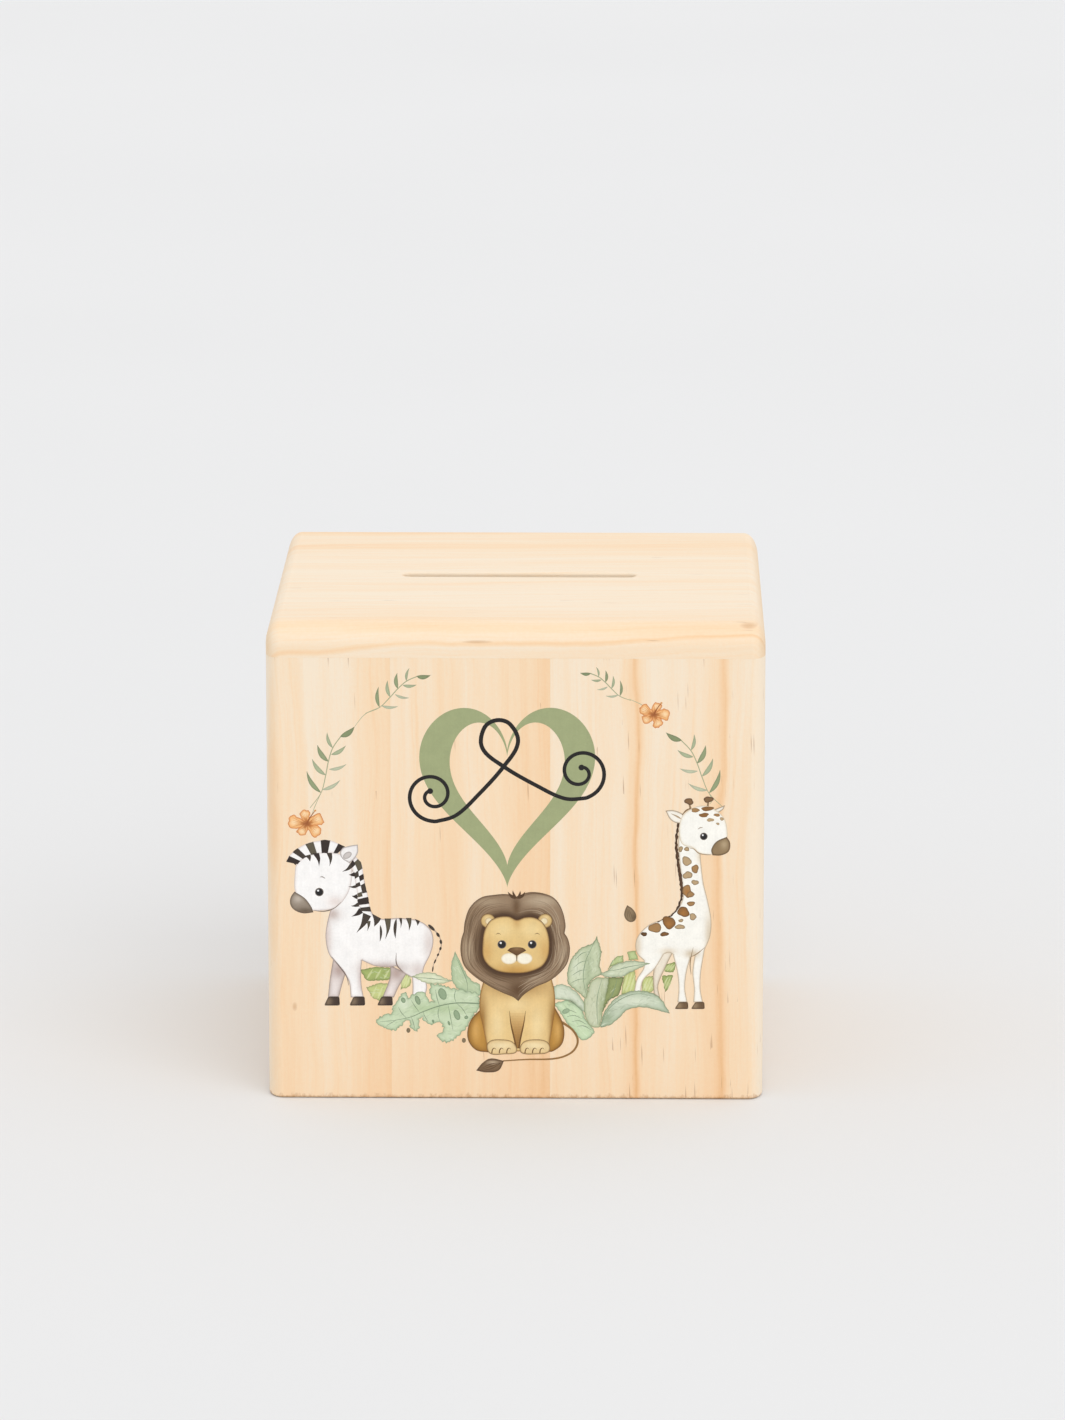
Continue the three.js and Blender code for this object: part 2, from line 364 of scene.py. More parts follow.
def dressed(mesh, node, body, rounding=0.0):
    """The piece that a mesh makes in place of its CAD node, with its weighted edges rounded."""
    piece = bpy.data.objects.new(node + "_finished", mesh)
    SCENE.collection.objects.link(piece)
    if rounding:
        bevel = piece.modifiers.new("ease", "BEVEL")
        bevel.width = rounding * MM
        bevel.segments = 3
        bevel.limit_method = "WEIGHT"
        bevel.use_clamp_overlap = False
        bevel.loop_slide = False
    flat = piece.modifiers.new("flat faces stay flat", "WEIGHTED_NORMAL")
    flat.weight = 100
    flat.keep_sharp = True
    for face in mesh.polygons:
        face.use_smooth = True
    mesh.set_sharp_from_angle(angle=SHARP)
    bake_modifiers(piece)
    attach(piece, body)
    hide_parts(node)
    return piece


def bake_modifiers(piece):
    """Puts what the modifiers make into the piece's own mesh."""
    graph = bpy.context.evaluated_depsgraph_get()
    mesh = bpy.data.meshes.new_from_object(piece.evaluated_get(graph))
    piece.modifiers.clear()
    piece.data = mesh


def outlines(node):
    """The outlines of a CAD node's top face: the outside one way round, and each hole the other way."""
    work = cad_copy(node)
    onward = {}
    for face in work.faces:
        for corner in face.loops:
            if face.normal.z > 0.99 and any(other.normal.z < 0.99 for other in corner.edge.link_faces):
                onward[corner.vert] = corner.link_loop_next.vert
    found = []
    while onward:
        line = [next(iter(onward))]
        while line[-1] in onward:
            line.append(onward.pop(line[-1]))
        found.append(thinned(np.array([vert.co.xy / MM for vert in line[:-1]]), CROWDED))
    work.free()
    return found


def thinned(line, gap):
    """An outline without the points that are closer than gap to a sharper corner."""
    before, after = line - np.roll(line, 1, axis=0), np.roll(line, -1, axis=0) - line
    lengths = np.linalg.norm(before, axis=1) * np.linalg.norm(after, axis=1)
    straightness = (before * after).sum(axis=1) / lengths
    kept = []
    for i in np.argsort(straightness, kind="stable"):
        if all(np.linalg.norm(line[i] - line[j]) > gap for j in kept):
            kept.append(i)
    return line[sorted(kept)]


def plate(node, ease, body):
    """A sheet with rounded edges, from a CAD node that has the same outlines all the way up."""
    low, high = (corner.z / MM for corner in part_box(node))
    bends = np.radians((0, 30, 60, 90))
    rise = [(ease * (1 - math.sin(bend)), ease * (1 - math.cos(bend))) for bend in bends]
    rings = [(inset, low + up) for inset, up in rise] + [(inset, high - up) for inset, up in reversed(rise)]
    points, polygons, lowest, highest, rims = [], [], [], [], []
    for line in outlines(node):
        count, first = len(line), len(points)
        rims.append(grown(line, -ease * turning(line)))
        lowest += range(first, first + count)
        highest += range(first + (len(rings) - 1) * count, first + len(rings) * count)
        for inset, z in rings:
            points += [(x * MM, y * MM, z * MM) for x, y in grown(line, -inset * turning(line))]
        for ring in range(len(rings) - 1):
            for i in range(count):
                a, b = first + ring * count + i, first + ring * count + (i + 1) % count
                polygons.append((a, b, b + count, a + count))
    for face in filled(rims):
        polygons.append(tuple(highest[i] for i in face))
        polygons.append(tuple(lowest[i] for i in reversed(face)))
    mesh = bpy.data.meshes.new(node)
    mesh.from_pydata(points, [], polygons)
    return dressed(mesh, node, body)


def joined(lines):
    """The points of some closed outlines in one list, and the edges between them."""
    points, edges = [], []
    for line in lines:
        first, count = len(points), len(line)
        points += [Vector(point) for point in line]
        edges += [(first + i, first + (i + 1) % count) for i in range(count)]
    return points, edges


def filled(lines):
    """Triangles between the points of some outlines, inside the outer one and outside the holes."""
    points, edges = joined(lines)
    made, _, faces, source, *_ = delaunay_2d_cdt(points, edges, [], 0, 0.0001, True)
    centres = np.array([sum((made[i] for i in face), Vector((0, 0))) / 3 for face in faces])
    solid = sum(inside(centres, line).astype(int) for line in lines) % 2 == 1
    return [tuple(source[i][0] for i in face) for face, kept in zip(faces, solid) if kept]


def finish(piece, material):
    piece.data.materials.clear()
    piece.data.materials.append(material)


BOARDS = {
    # The front's fade is partly painted light: the wall is painted lighter at the top and darker at the
    # bottom.
    "front": Board(grain=Z, across=X, depth=Y, outside=CAD_BOX[0][Y] / MM, fade=-0.09),
    "back": Board(grain=Z, across=X, depth=Y, outside=CAD_BOX[1][Y] / MM),
    "left": Board(grain=Z, across=Y, depth=X, outside=CAD_BOX[0][X] / MM),
    "right": Board(grain=Z, across=Y, depth=X, outside=CAD_BOX[1][X] / MM),
    "top": Board(grain=X, across=Y, depth=Z, outside=BOX_HEIGHT, lean=-0.8, tilt=-0.037),
}

# The staves that the photograph shows, from edge to edge, as (place in millimetres, tone from 0 to 1).
KNOWN_TONES = {
    # The darker tone at -49.6 mm, on the rounded left edge of this stave, is painted shade.
    "front_left_stave": [
        (-51, 0.16), (-49.6, 0.38), (-48.6, 0.16), (-44, 0.22), (-42.5, 0.10), (-34, 0.12), (-31, 0.22),
        (-27, 0.30), (-25, 0.38),
    ],
    "front_middle_stave": [
        (-25, 0.18), (-17, 0.20), (-15.5, 0.26), (-12, 0.30), (-10, 0.18), (-5, 0.20), (0, 0.32), (4.6, 0.38),
        (5.6, 0.52), (7, 0.36),
    ],
    # The palest tones, from 47.2 mm outwards on the rounded right edge of this stave, are a painted
    # highlight.
    "front_right_stave": [
        (7, 0.12), (15, 0.14), (22, 0.14), (24.2, 0.32), (25.2, 0.66), (26.0, 0.24), (28, 0.10), (35, 0.14),
        (39.5, 0.32), (41, 0.56), (42.2, 0.16), (46, 0.14), (47.2, 0.04), (50, 0.02),
    ],
    "top_front_stave": [
        (-57, 0.32), (-53.4, 0.28), (-52.6, 0.6), (-52.0, 0.3), (-49, 0.26), (-44, 0.14), (-38, 0.12),
        (-34, 0.04), (-32, 0.06),
    ],
    "top_middle_stave": [
        (-32, 0.02), (-12, 0.05), (-8, 0.12), (-6, 0.03), (6, 0.03), (13, 0.12), (14, 0.04), (19, 0.06),
    ],
    "top_back_stave": [
        (19, 0.08), (27, 0.14), (32, 0.30), (33, 0.12), (42, 0.14), (45, 0.30), (46, 0.16), (50, 0.18),
    ],
}
RESIN_SHARES = {"front_right_stave": 0.6, "front_middle_stave": 0.16, "top_front_stave": 0.1}
USUAL_RESIN = 0.12
STAINS = {
    "front_left_stave": [(-44.5, 19.0, 0.5, 0.9)],
    "top_front_stave": [(-7.5, 94.3, 2.8, 0.3), (46.6, 97.3, 1.7, 0.5)],
}


def growth(low, high, chance):
    """Tones for a stave out of view: rings that each darken slowly and end in a line, near or far apart."""
    spacing = chance.uniform(3.5, 12)
    tones = [(low, chance.uniform(0.1, 0.3))]
    place = low + spacing * chance.uniform(0.4, 0.9)
    while place < high - 1.5:
        darkest = chance.uniform(0.32, 0.68)
        tones.append((place - spacing * 0.3, chance.uniform(0.12, 0.26)))
        tones.append((place, darkest))
        tones.append((place + 0.9, chance.uniform(0.1, 0.22)))
        spacing = min(14, max(2.6, spacing * chance.uniform(0.65, 1.5)))
        place += spacing
    return tones + [(high, chance.uniform(0.1, 0.25))]


def stave_ease(middle):
    """The rim that the box stands on and the slot are sanded round, and the glued joints are flush."""
    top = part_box("top_middle_stave")[1].z / MM
    if middle.z > top - 0.1 and abs(middle.x) < SLOT_REACH[X] and abs(middle.y) < SLOT_REACH[Y]:
        return SLOT_EASE
    if middle.z < 0.1:
        return RIM_EASE if max(abs(middle.x), abs(middle.y)) > RIM_REACH else FOOT_EASE
    return JOINT_EASE


def staves():
    nodes = [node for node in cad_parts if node.endswith("_stave")]
    for seed, node in enumerate(sorted(nodes)):
        board = BOARDS[node.split("_")[0]]
        low, high = (corner[board.across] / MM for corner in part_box(node))
        tones = KNOWN_TONES.get(node) or growth(low, high, random.Random(seed))
        resin, stains = RESIN_SHARES.get(node, USUAL_RESIN), STAINS.get(node, ())
        material = pine("pine_" + node, board, tones, seed + 1, resin, stains)
        finish(eased(node, stave_ease, "box"), material)


def sheets():
    pieces = {
        "base_board": eased("base_board", lambda middle: PLY_EASE, "box"),
        "access_flap": plate("access_flap", PLY_EASE, "flap"),
    }
    for node, piece in pieces.items():
        low, high = (corner.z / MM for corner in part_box(node))
        finish(piece, plywood("plywood_" + node, low, high))


def fasteners():
    for name, screw_body in (("pivot", "box"), ("latch", "latch_screw")):
        low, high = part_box(name + "_screw")
        centre = (low + high) / 2 / MM
        metal = zinc("zinc_" + name, centre)

        def head_ease(middle):
            """Rounds the head, and leaves the cross recess in it sharp."""
            return SCREW_EASE if (middle.xy - centre.xy).length > RECESS_REACH else 0.0

        finish(eased(name + "_screw", head_ease, screw_body, whole_faces=False), metal)
        finish(eased(name + "_washer", lambda middle: WASHER_EASE, "box"), metal)


# ---------------------------------------------------------------- ink: outlines and films

FRONT_FACE = CAD_BOX[0][Y] / MM
# All in millimetres, but for PRINT_TURN.
INK_ROOT = 0.05  # how far a film goes into the wood
INK_STEP = 0.004  # how much prouder each film lies than the one before it
SAMPLE = 0.35  # between the points of a curve
GRID = 0.42  # between the points that carry a shape's soft colours
EDGE_REACH = 0.26  # how far a pencilled edge fades inwards
PRINT_LIFT = 0.25  # the print sits this much higher than its outlines say,
PRINT_TURN = 0.005  # and rises this much for each millimetre to the right

# What Figure.fill and Figure.glaze are told. cover is None for a filled shape, and a share for a glaze.
Layer = namedtuple("Layer", "shape colour rim reach soft edge cover")


def tone(red, green, blue):
    return np.array(linear(red, green, blue)[:3])


def smooth(points, closed=False):
    """A fine line through the given points, turning as evenly as they allow."""
    knots = [Vector(point) for point in points]
    count = len(knots)
    line = []
    for i in range(count if closed else count - 1):
        a, b = knots[i], knots[(i + 1) % count]
        before = knots[i - 1] if closed or i else a
        after = knots[(i + 2) % count] if closed or i + 2 < count else b
        reach = (b - a).length / 3
        leave = a + (b - before).normalized() * reach
        arrive = b - (after - a).normalized() * reach
        steps = max(2, round(3 * reach / SAMPLE)) + 1
        line += [Vector(p[:2]) for p in interpolate_bezier(a, leave, arrive, b, steps)[:-1]]
    if not closed:
        line.append(knots[-1])
    return np.array(line)


def loop(*points):
    return smooth(points, closed=True)


def outline(*runs):
    """Smooth runs that meet at corners. Each run goes on from the last point of the one before it."""
    line = [smooth(runs[0])]
    for last, run in zip(runs, runs[1:]):
        line.append(smooth([last[-1], *run])[1:])
    return np.vstack(line)


def oval(x, z, across, up, turn=0.0):
    """An ellipse of the given half width and half height, turned by degrees."""
    angles = np.linspace(0, 2 * math.pi, max(10, round(5 * (across + up) / SAMPLE)), endpoint=False)
    cos, sin = math.cos(math.radians(turn)), math.sin(math.radians(turn))
    wide, tall = across * np.cos(angles), up * np.sin(angles)
    return np.stack([x + wide * cos - tall * sin, z + wide * sin + tall * cos], axis=1)


def stroke(points, start, middle, end):
    """The outline of a pen or brush stroke, from its width in millimetres at its start, middle and end."""
    line = smooth(points)
    along = np.gradient(line, axis=0)
    along /= np.linalg.norm(along, axis=1)[:, None]
    side = np.stack([-along[:, 1], along[:, 0]], axis=1)
    half = np.interp(np.linspace(0, 1, len(line)), (0, 0.5, 1), (start, middle, end))[:, None] / 2
    return np.vstack([line + side * half, (line - side * half)[::-1]])


def part(points, start, end):
    """The stretch of a smooth line between two shares of its length."""
    line = smooth(points)
    lengths = np.cumsum(np.r_[0, np.linalg.norm(np.diff(line, axis=0), axis=1)])
    at = np.linspace(start, end, max(3, round((end - start) * lengths[-1] / SAMPLE))) * lengths[-1]
    return np.stack([np.interp(at, lengths, line[:, axis]) for axis in (0, 1)], axis=1)


def blade(base, tip, width, bend=0.0):
    """A pointed leaf from base to tip. bend curves it to its left, as a share of its length."""
    base, tip = np.array(base, float), np.array(tip, float)
    along = tip - base
    side = np.array([-along[1], along[0]])
    share = np.linspace(0, 1, max(5, round(np.linalg.norm(along) / SAMPLE)))[:, None]
    spine = base + along * share + side * bend * 4 * share * (1 - share)
    half = side / np.linalg.norm(along) * width / 2 * np.sin(math.pi * share**0.8)
    return np.vstack([spine + half, (spine - half)[-2:0:-1]])


def horn(tip, left, right, bend=0.1):
    """A stripe from the two ends of its foot to its tip. bend curves it, as a share of its length."""
    tip, left, right = (np.array(point, float) for point in (tip, left, right))
    along = tip - (left + right) / 2
    push = np.array([-along[1], along[0]]) * bend
    return outline([left, left * 0.44 + tip * 0.56 + push, tip], [right * 0.56 + tip * 0.44 + push, right],
                   [left])


def blot(x, z, across, up, seed):
    """A round spot with an uneven edge."""
    shape = oval(0, 0, 1, 1)
    turn = np.arctan2(shape[:, 1], shape[:, 0])
    swell = 1 + 0.1 * np.sin(2 * turn + seed) + 0.08 * np.sin(3 * turn + 2.3 * seed)
    swell += 0.04 * np.sin(5 * turn - seed)
    return shape * swell[:, None] * (across, up) + (x, z)


def rounded(corners, radius):
    """A polygon whose corners are cut round, about radius mm from each corner."""
    points = [np.array(corner, float) for corner in corners]
    line = []
    for i, here in enumerate(points):
        before, after = points[i - 1] - here, points[(i + 1) % len(points)] - here
        start = here + before / np.linalg.norm(before) * radius
        end = here + after / np.linalg.norm(after) * radius
        line += [start, (start + end + 2 * here) / 4, end]
    return np.array(line)


def turning(shape):
    """1 for a closed outline that runs counter-clockwise, and -1 for one that runs clockwise."""
    before = np.roll(shape, 1, axis=0)
    return math.copysign(1, (before[:, 0] * shape[:, 1] - shape[:, 0] * before[:, 1]).sum())


def normals(shape):
    """The outward direction at each point of a closed outline."""
    along = np.roll(shape, -1, axis=0) - np.roll(shape, 1, axis=0)
    along /= np.maximum(np.linalg.norm(along, axis=1), 1e-9)[:, None]
    return np.stack([along[:, 1], -along[:, 0]], axis=1) * turning(shape)


def grown(shape, distance):
    return shape + normals(shape) * distance


def frayed(shape, depth, chance):
    """An outline with its edge nibbled in and out by up to depth mm."""
    push = np.array([chance.uniform(-1, 1) for _ in shape]) * depth
    return shape + normals(shape) * push[:, None]


def inside(places, shape):
    """Which places a closed outline goes round. Where it overlaps itself is inside too."""
    x, z = places[:, 0, None], places[:, 1, None]
    a, b = shape, np.roll(shape, -1, axis=0)
    side = (b[:, 0] - a[:, 0]) * (z - a[:, 1]) - (x - a[:, 0]) * (b[:, 1] - a[:, 1])
    rises = (a[:, 1] <= z) & (b[:, 1] > z) & (side > 0)
    falls = (a[:, 1] > z) & (b[:, 1] <= z) & (side < 0)
    return rises.sum(axis=1) != falls.sum(axis=1)


def edge_distance(places, shape):
    """How far each place is from the nearest edge of a closed outline."""
    a, b = shape, np.roll(shape, -1, axis=0)
    run = b - a
    square = np.maximum((run**2).sum(axis=1), 1e-12)
    share = np.clip(((places[:, None] - a) * run).sum(axis=2) / square, 0, 1)
    nearest = a + share[:, :, None] * run
    return np.linalg.norm(places[:, None] - nearest, axis=2).min(axis=1)


def inset(shape, depth):
    """Points depth mm inside an outline, where a soft edge bends most."""
    tries = grown(shape, -depth)
    return tries[inside(tries, shape) & (edge_distance(tries, shape) > depth * 0.9)]


class Figure:
    """A figure of the print: painted shape over shape, then cut along every edge into one film of ink."""

    def __init__(self, name):
        self.name = name
        self.layers = []

    def fill(self, shape, colour, rim=None, reach=1.0, soft=(), edge=None):
        """Paints a shape. rim fades inwards over reach mm, and edge is a thin pencil line round the shape.

        soft holds tints as (colour, x, z, half width, half height).
        """
        self.layers.append(Layer(shape, colour, rim, reach, soft, edge, None))

    def glaze(self, shape, colour, feather, cover=1.0):
        """Tints what is painted so far: evenly, or more and more over the feather mm inside the shape."""
        self.layers.append(Layer(shape, colour, None, feather, (), None, cover))

    def line(self, points, colour, start, middle=None, end=None):
        middle = start if middle is None else middle
        self.fill(stroke(points, start, middle, middle if end is None else end), colour)

    def paint(self, layer, under, places):
        """A layer's colours at some places, over what is painted there already."""
        paint = np.tile(layer.colour, (len(places), 1))
        for tint, x, z, across, up in layer.soft:
            away = ((places[:, 0] - x) / across) ** 2 + ((places[:, 1] - z) / up) ** 2
            paint += (tint - paint) * np.exp(-away)[:, None]
        if layer.cover and not layer.reach:
            return under + (paint - under) * layer.cover
        if layer.cover is None and layer.rim is None and layer.edge is None:
            return paint
        depth = edge_distance(places, layer.shape)[:, None]
        rise = np.clip(depth / layer.reach, 0, 1)
        if layer.cover:
            return under + (paint - under) * layer.cover * rise * rise * (3 - 2 * rise)
        if layer.rim is not None:
            paint = layer.rim + (paint - layer.rim) * (1 - (1 - rise) ** 2)
        if layer.edge is not None:
            paint = layer.edge + (paint - layer.edge) * np.clip(depth / EDGE_REACH, 0, 1)
        return paint

    def grid(self):
        """Points inside the shapes whose colour varies, for the film's triangles to carry it."""
        low = np.min([layer.shape.min(axis=0) for layer in self.layers], axis=0)
        high = np.max([layer.shape.max(axis=0) for layer in self.layers], axis=0)
        rows = np.arange(low[1], high[1], GRID * 0.87)
        columns = np.arange(low[0], high[0], GRID)
        places = np.array([(x + GRID / 2 * (i % 2), z) for i, z in enumerate(rows) for x in columns])
        wanted = np.zeros(len(places), bool)
        rings = []
        for layer in self.layers:
            if layer.rim is not None or layer.soft or (layer.cover and layer.reach):
                wanted |= inside(places, layer.shape)
                rings += [inset(layer.shape, layer.reach * share) for share in (0.35, 0.8)]
            if layer.edge is not None:
                rings.append(inset(layer.shape, EDGE_REACH))
        return np.vstack([places[wanted], *rings])

    def film(self, level):
        """Makes the film, a thin closed sheet on the front wall, and gives it the ink material."""
        places, edges = joined(layer.shape for layer in self.layers)
        places += [Vector(place) for place in self.grid()]
        flat, _, faces, *_ = delaunay_2d_cdt(places, edges, [], 0, 0.004, False)
        flat, faces = np.array(flat), np.array(faces)
        corners = flat[faces]
        centres = corners.mean(axis=1)
        colours = np.zeros((*faces.shape, 3))
        covered = np.zeros(len(faces), bool)
        for layer in self.layers:
            under = inside(centres, layer.shape)
            if layer.cover is None:
                covered |= under
            shown = self.paint(layer, colours[under].reshape(-1, 3), corners[under].reshape(-1, 2))
            colours[under] = shown.reshape(-1, 3, 3)
        film_piece(self.name, flat, faces[covered], colours[covered], level)


def film_piece(name, flat, faces, colours, level):
    """A closed sheet from triangles on the front wall and the colour at each of their corners."""
    used, faces = np.unique(faces, return_inverse=True)
    faces = faces.reshape(-1, 3)
    flat = flat[used] + np.outer(flat[used][:, 0] * PRINT_TURN + PRINT_LIFT, (0, 1))
    count = len(flat)
    proud = np.full(count, FRONT_FACE - INK_STEP * level)
    sunk = np.full(count, FRONT_FACE + INK_ROOT)
    points = np.vstack([np.stack([flat[:, 0], y, flat[:, 1]], axis=1) for y in (proud, sunk)]) * MM
    polygons = [tuple(face) for face in faces] + [tuple(face[::-1] + count) for face in faces]
    paints = [*colours.reshape(-1, 3), *colours[:, ::-1].reshape(-1, 3)]
    borders = {}
    for face, shades in zip(faces.tolist(), colours):
        for i in range(3):
            a, b = face[i], face[(i + 1) % 3]
            if borders.pop((b, a), None) is None:
                borders[a, b] = (shades[i], shades[(i + 1) % 3])
    for (a, b), (shade_a, shade_b) in borders.items():
        polygons.append((b, a, a + count, b + count))
        paints += [shade_b, shade_a, shade_a, shade_b]
    mesh = bpy.data.meshes.new(name)
    mesh.from_pydata(points.tolist(), [], polygons)
    layer = mesh.color_attributes.new("ink", "FLOAT_COLOR", "CORNER")
    layer.data.foreach_set("color", np.hstack([paints, np.ones((len(paints), 1))]).ravel())
    piece = bpy.data.objects.new(name, mesh)
    SCENE.collection.objects.link(piece)
    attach(piece, "box")
    finish(piece, ink())


def ink():
    """Printed watercolour: the art's own colours, a little mottled, with the wood's fibres felt through."""
    if "ink" in bpy.data.materials:
        return bpy.data.materials["ink"]
    s = Shader("ink", specular=0.4)
    art = s.node("ShaderNodeAttribute", output="Color", attribute_name="ink")
    wash = s.noise(s.place, scale=420.0, detail=4.0, roughness=0.65)
    grains = s.noise(s.place, scale=2400.0)
    fibre = s.noise(s.join(s.axes[X] * 2.6, 0.0, s.axes[Z] * 0.1), detail=3.0, roughness=0.6)
    shade = wash.range(0.3, 0.7, 0.93, 1.03) + grains.range(0.3, 0.7, -0.03, 0.02)
    shade = shade + fibre.range(0.2, 0.8, -0.03, 0.03)
    s.colour(s.mix(1.0, art, s.join(shade, shade, shade), blend="MULTIPLY"))
    s.gloss(wash.range(0.3, 0.7, 0.45, 0.6))
    s.bump(fibre + grains * 0.3, 0.02, 0.4)
    return s.material


# ---------------------------------------------------------------- the picture's figures
# Outlines are in millimetres on the front wall: x from its middle, z up from the table.

OUTLINE = tone(120, 105, 92)
PUPIL = tone(22, 20, 22)
GLINT = tone(246, 246, 246)


def eye(art, x, z, size):
    art.fill(oval(x, z, size, size), tone(92, 82, 76), rim=tone(150, 138, 128), reach=0.2)
    art.fill(oval(x, z, size * 0.82, size * 0.82), PUPIL)
    art.fill(oval(x - size * 0.26, z + size * 0.34, size * 0.24, size * 0.24), GLINT)


def hoof(art, left, right, top, height, colour, sheen):
    """A hoof under a leg. It is wider at its foot, and lighter at its left."""
    corners = [(left, top), (right, top), (right + 0.1, top - height), (left - 0.9, top - height)]
    glow = [(sheen, left - 0.1, top - height * 0.55, (right - left) * 0.35, height * 0.5)]
    art.fill(rounded(corners, 0.35), colour, rim=colour * 0.6, reach=0.4, soft=glow)


WHITE, MAUVE = tone(252, 250, 248), tone(218, 204, 199)
STRIPE, OLIVE, BLACK = tone(64, 54, 44), tone(92, 84, 66), tone(46, 34, 28)


def zebra():
    art = Figure("print_zebra")
    zebra_tail(art)
    zebra_body(art)
    zebra_head(art)
    zebra_mane(art)
    ear = outline(
        [(-34.6, 52.0), (-33.0, 52.4), (-31.6, 52.6)],
        [(-31.6, 51.0), (-32.3, 49.7), (-33.3, 48.8)],
        [(-34.7, 49.7), (-35.2, 51.0), (-34.6, 52.0)],
    )
    art.fill(ear, tone(244, 241, 239), rim=tone(196, 186, 182), reach=0.5, edge=tone(160, 150, 146))
    art.fill(oval(-33.7, 50.4, 0.95, 0.62, 35), tone(206, 199, 195), rim=tone(150, 141, 136), reach=0.3)
    eye(art, -39.4, 42.8, 0.88)
    art.line([(-39.3, 45.9), (-38.7, 45.95), (-38.2, 45.6)], OUTLINE, 0.08, 0.2, 0.08)
    return art


def zebra_tail(art):
    tail = [(-17.5, 36.0), (-15.5, 33.9), (-14.9, 31.9), (-15.5, 29.9), (-16.5, 27.6), (-16.7, 26.2)]
    art.line(tail, tone(186, 166, 148), 0.3, 0.2, 0.12)
    dashes = ((0.0, 0.16), (0.21, 0.31), (0.36, 0.45), (0.5, 0.57), (0.63, 0.69), (0.75, 0.84), (0.89, 1.0))
    for i, (start, end) in enumerate(dashes):
        a, b = part(tail, start, end)[[0, -1]]
        turn = math.degrees(math.atan2(b[1] - a[1], b[0] - a[0]))
        art.fill(oval(*(a + b) / 2, np.linalg.norm(b - a) / 2, 0.32 - 0.03 * i, turn), STRIPE)


def zebra_body(art):
    far_legs = (
        outline([(-36.7, 28.9), (-37.4, 24.6), (-37.8, 20.9)], [(-35.6, 20.9)],
                [(-35.0, 23.3), (-34.0, 26.6)]),
        outline([(-25.2, 27.6), (-25.3, 25.0), (-26.8, 20.9)], [(-24.5, 20.9)],
                [(-23.4, 23.3), (-21.9, 25.9)]),
    )
    for leg in far_legs:
        x, z = leg.mean(axis=0)
        shade = [(tone(186, 164, 156), x + 0.8, z + 2.6, 1.5, 1.8)]
        art.fill(leg, tone(236, 226, 222), rim=tone(186, 168, 160), reach=1.1, soft=shade,
                 edge=tone(150, 132, 124))
    body = outline(
        [(-37.3, 38.7), (-37.9, 36.2), (-38.2, 33.4), (-37.6, 30.1), (-36.2, 28.1), (-34.5, 26.1)],
        [(-33.5, 24.0), (-33.2, 20.9)],
        [(-30.6, 20.9)],
        [(-31.0, 23.3), (-31.1, 26.3), (-30.9, 28.6)],
        [(-28.4, 27.5), (-25.5, 27.2), (-24.0, 27.4)],
        [(-22.6, 26.1), (-20.8, 25.0)],
        [(-20.7, 23.0), (-20.8, 20.9)],
        [(-18.3, 20.9)],
        [(-17.8, 23.3), (-18.7, 25.8)],
        [(-18.3, 27.4), (-17.1, 29.9), (-16.5, 32.5), (-16.9, 34.7), (-18.4, 36.3), (-20.3, 37.1)],
        [(-23.5, 37.4), (-26.7, 37.2), (-28.3, 37.8), (-29.2, 39.5), (-29.9, 42.7), (-30.5, 46.0),
         (-31.8, 48.7)],
        [(-34.4, 44.7), (-37.3, 38.7)],
    )
    shading = [
        (tone(186, 164, 156), -26.4, 27.0, 4.4, 1.2), (tone(222, 208, 202), -37.9, 33.0, 0.9, 5.4),
        (tone(204, 188, 181), -36.8, 38.2, 1.6, 1.3), (tone(228, 217, 212), -17.4, 32.0, 1.1, 3.4),
        (tone(220, 207, 202), -31.2, 25.0, 0.7, 3.0), (tone(226, 214, 209), -19.6, 26.4, 1.6, 1.6),
    ]
    art.fill(body, WHITE, rim=MAUVE, reach=0.6, soft=shading, edge=tone(160, 142, 134))
    art.line([(-37.0, 29.4), (-35.3, 27.2), (-34.0, 25.2), (-33.6, 23.4)],
             tone(112, 94, 86), 0.06, 0.26, 0.06)
    art.line([(-24.0, 30.2), (-23.9, 27.8), (-22.6, 26.2)], tone(120, 102, 92), 0.06, 0.24, 0.08)
    for left in (-37.7, -32.6, -27.0, -20.7):
        hoof(art, left, left + 2.2, 21.1, 1.9, tone(66, 50, 40), tone(132, 112, 90))
    back = (
        ((-32.0, 34.3), (-30.6, 38.5), (-29.0, 37.8)), ((-29.8, 34.7), (-29.9, 36.8), (-29.1, 36.8)),
        ((-28.4, 35.6), (-28.8, 38.3), (-27.0, 37.3)), ((-26.2, 32.9), (-26.3, 37.3), (-25.0, 37.3)),
        ((-23.1, 35.2), (-23.4, 37.4), (-22.8, 37.4)), ((-21.4, 34.7), (-22.0, 37.4), (-20.9, 37.4)),
        ((-19.7, 35.8), (-20.2, 37.2), (-19.2, 36.8)),
    )
    for i, (tip, left, right) in enumerate(back):
        art.fill(horn(tip, left, right, 0.07), (STRIPE, OLIVE)[i % 2], rim=STRIPE, reach=0.3)
    art.fill(blade((-27.2, 36.0), (-27.3, 32.4), 0.5, 0.06), STRIPE)
    art.fill(blade((-23.9, 37.3), (-24.1, 33.1), 0.66, -0.05), STRIPE)


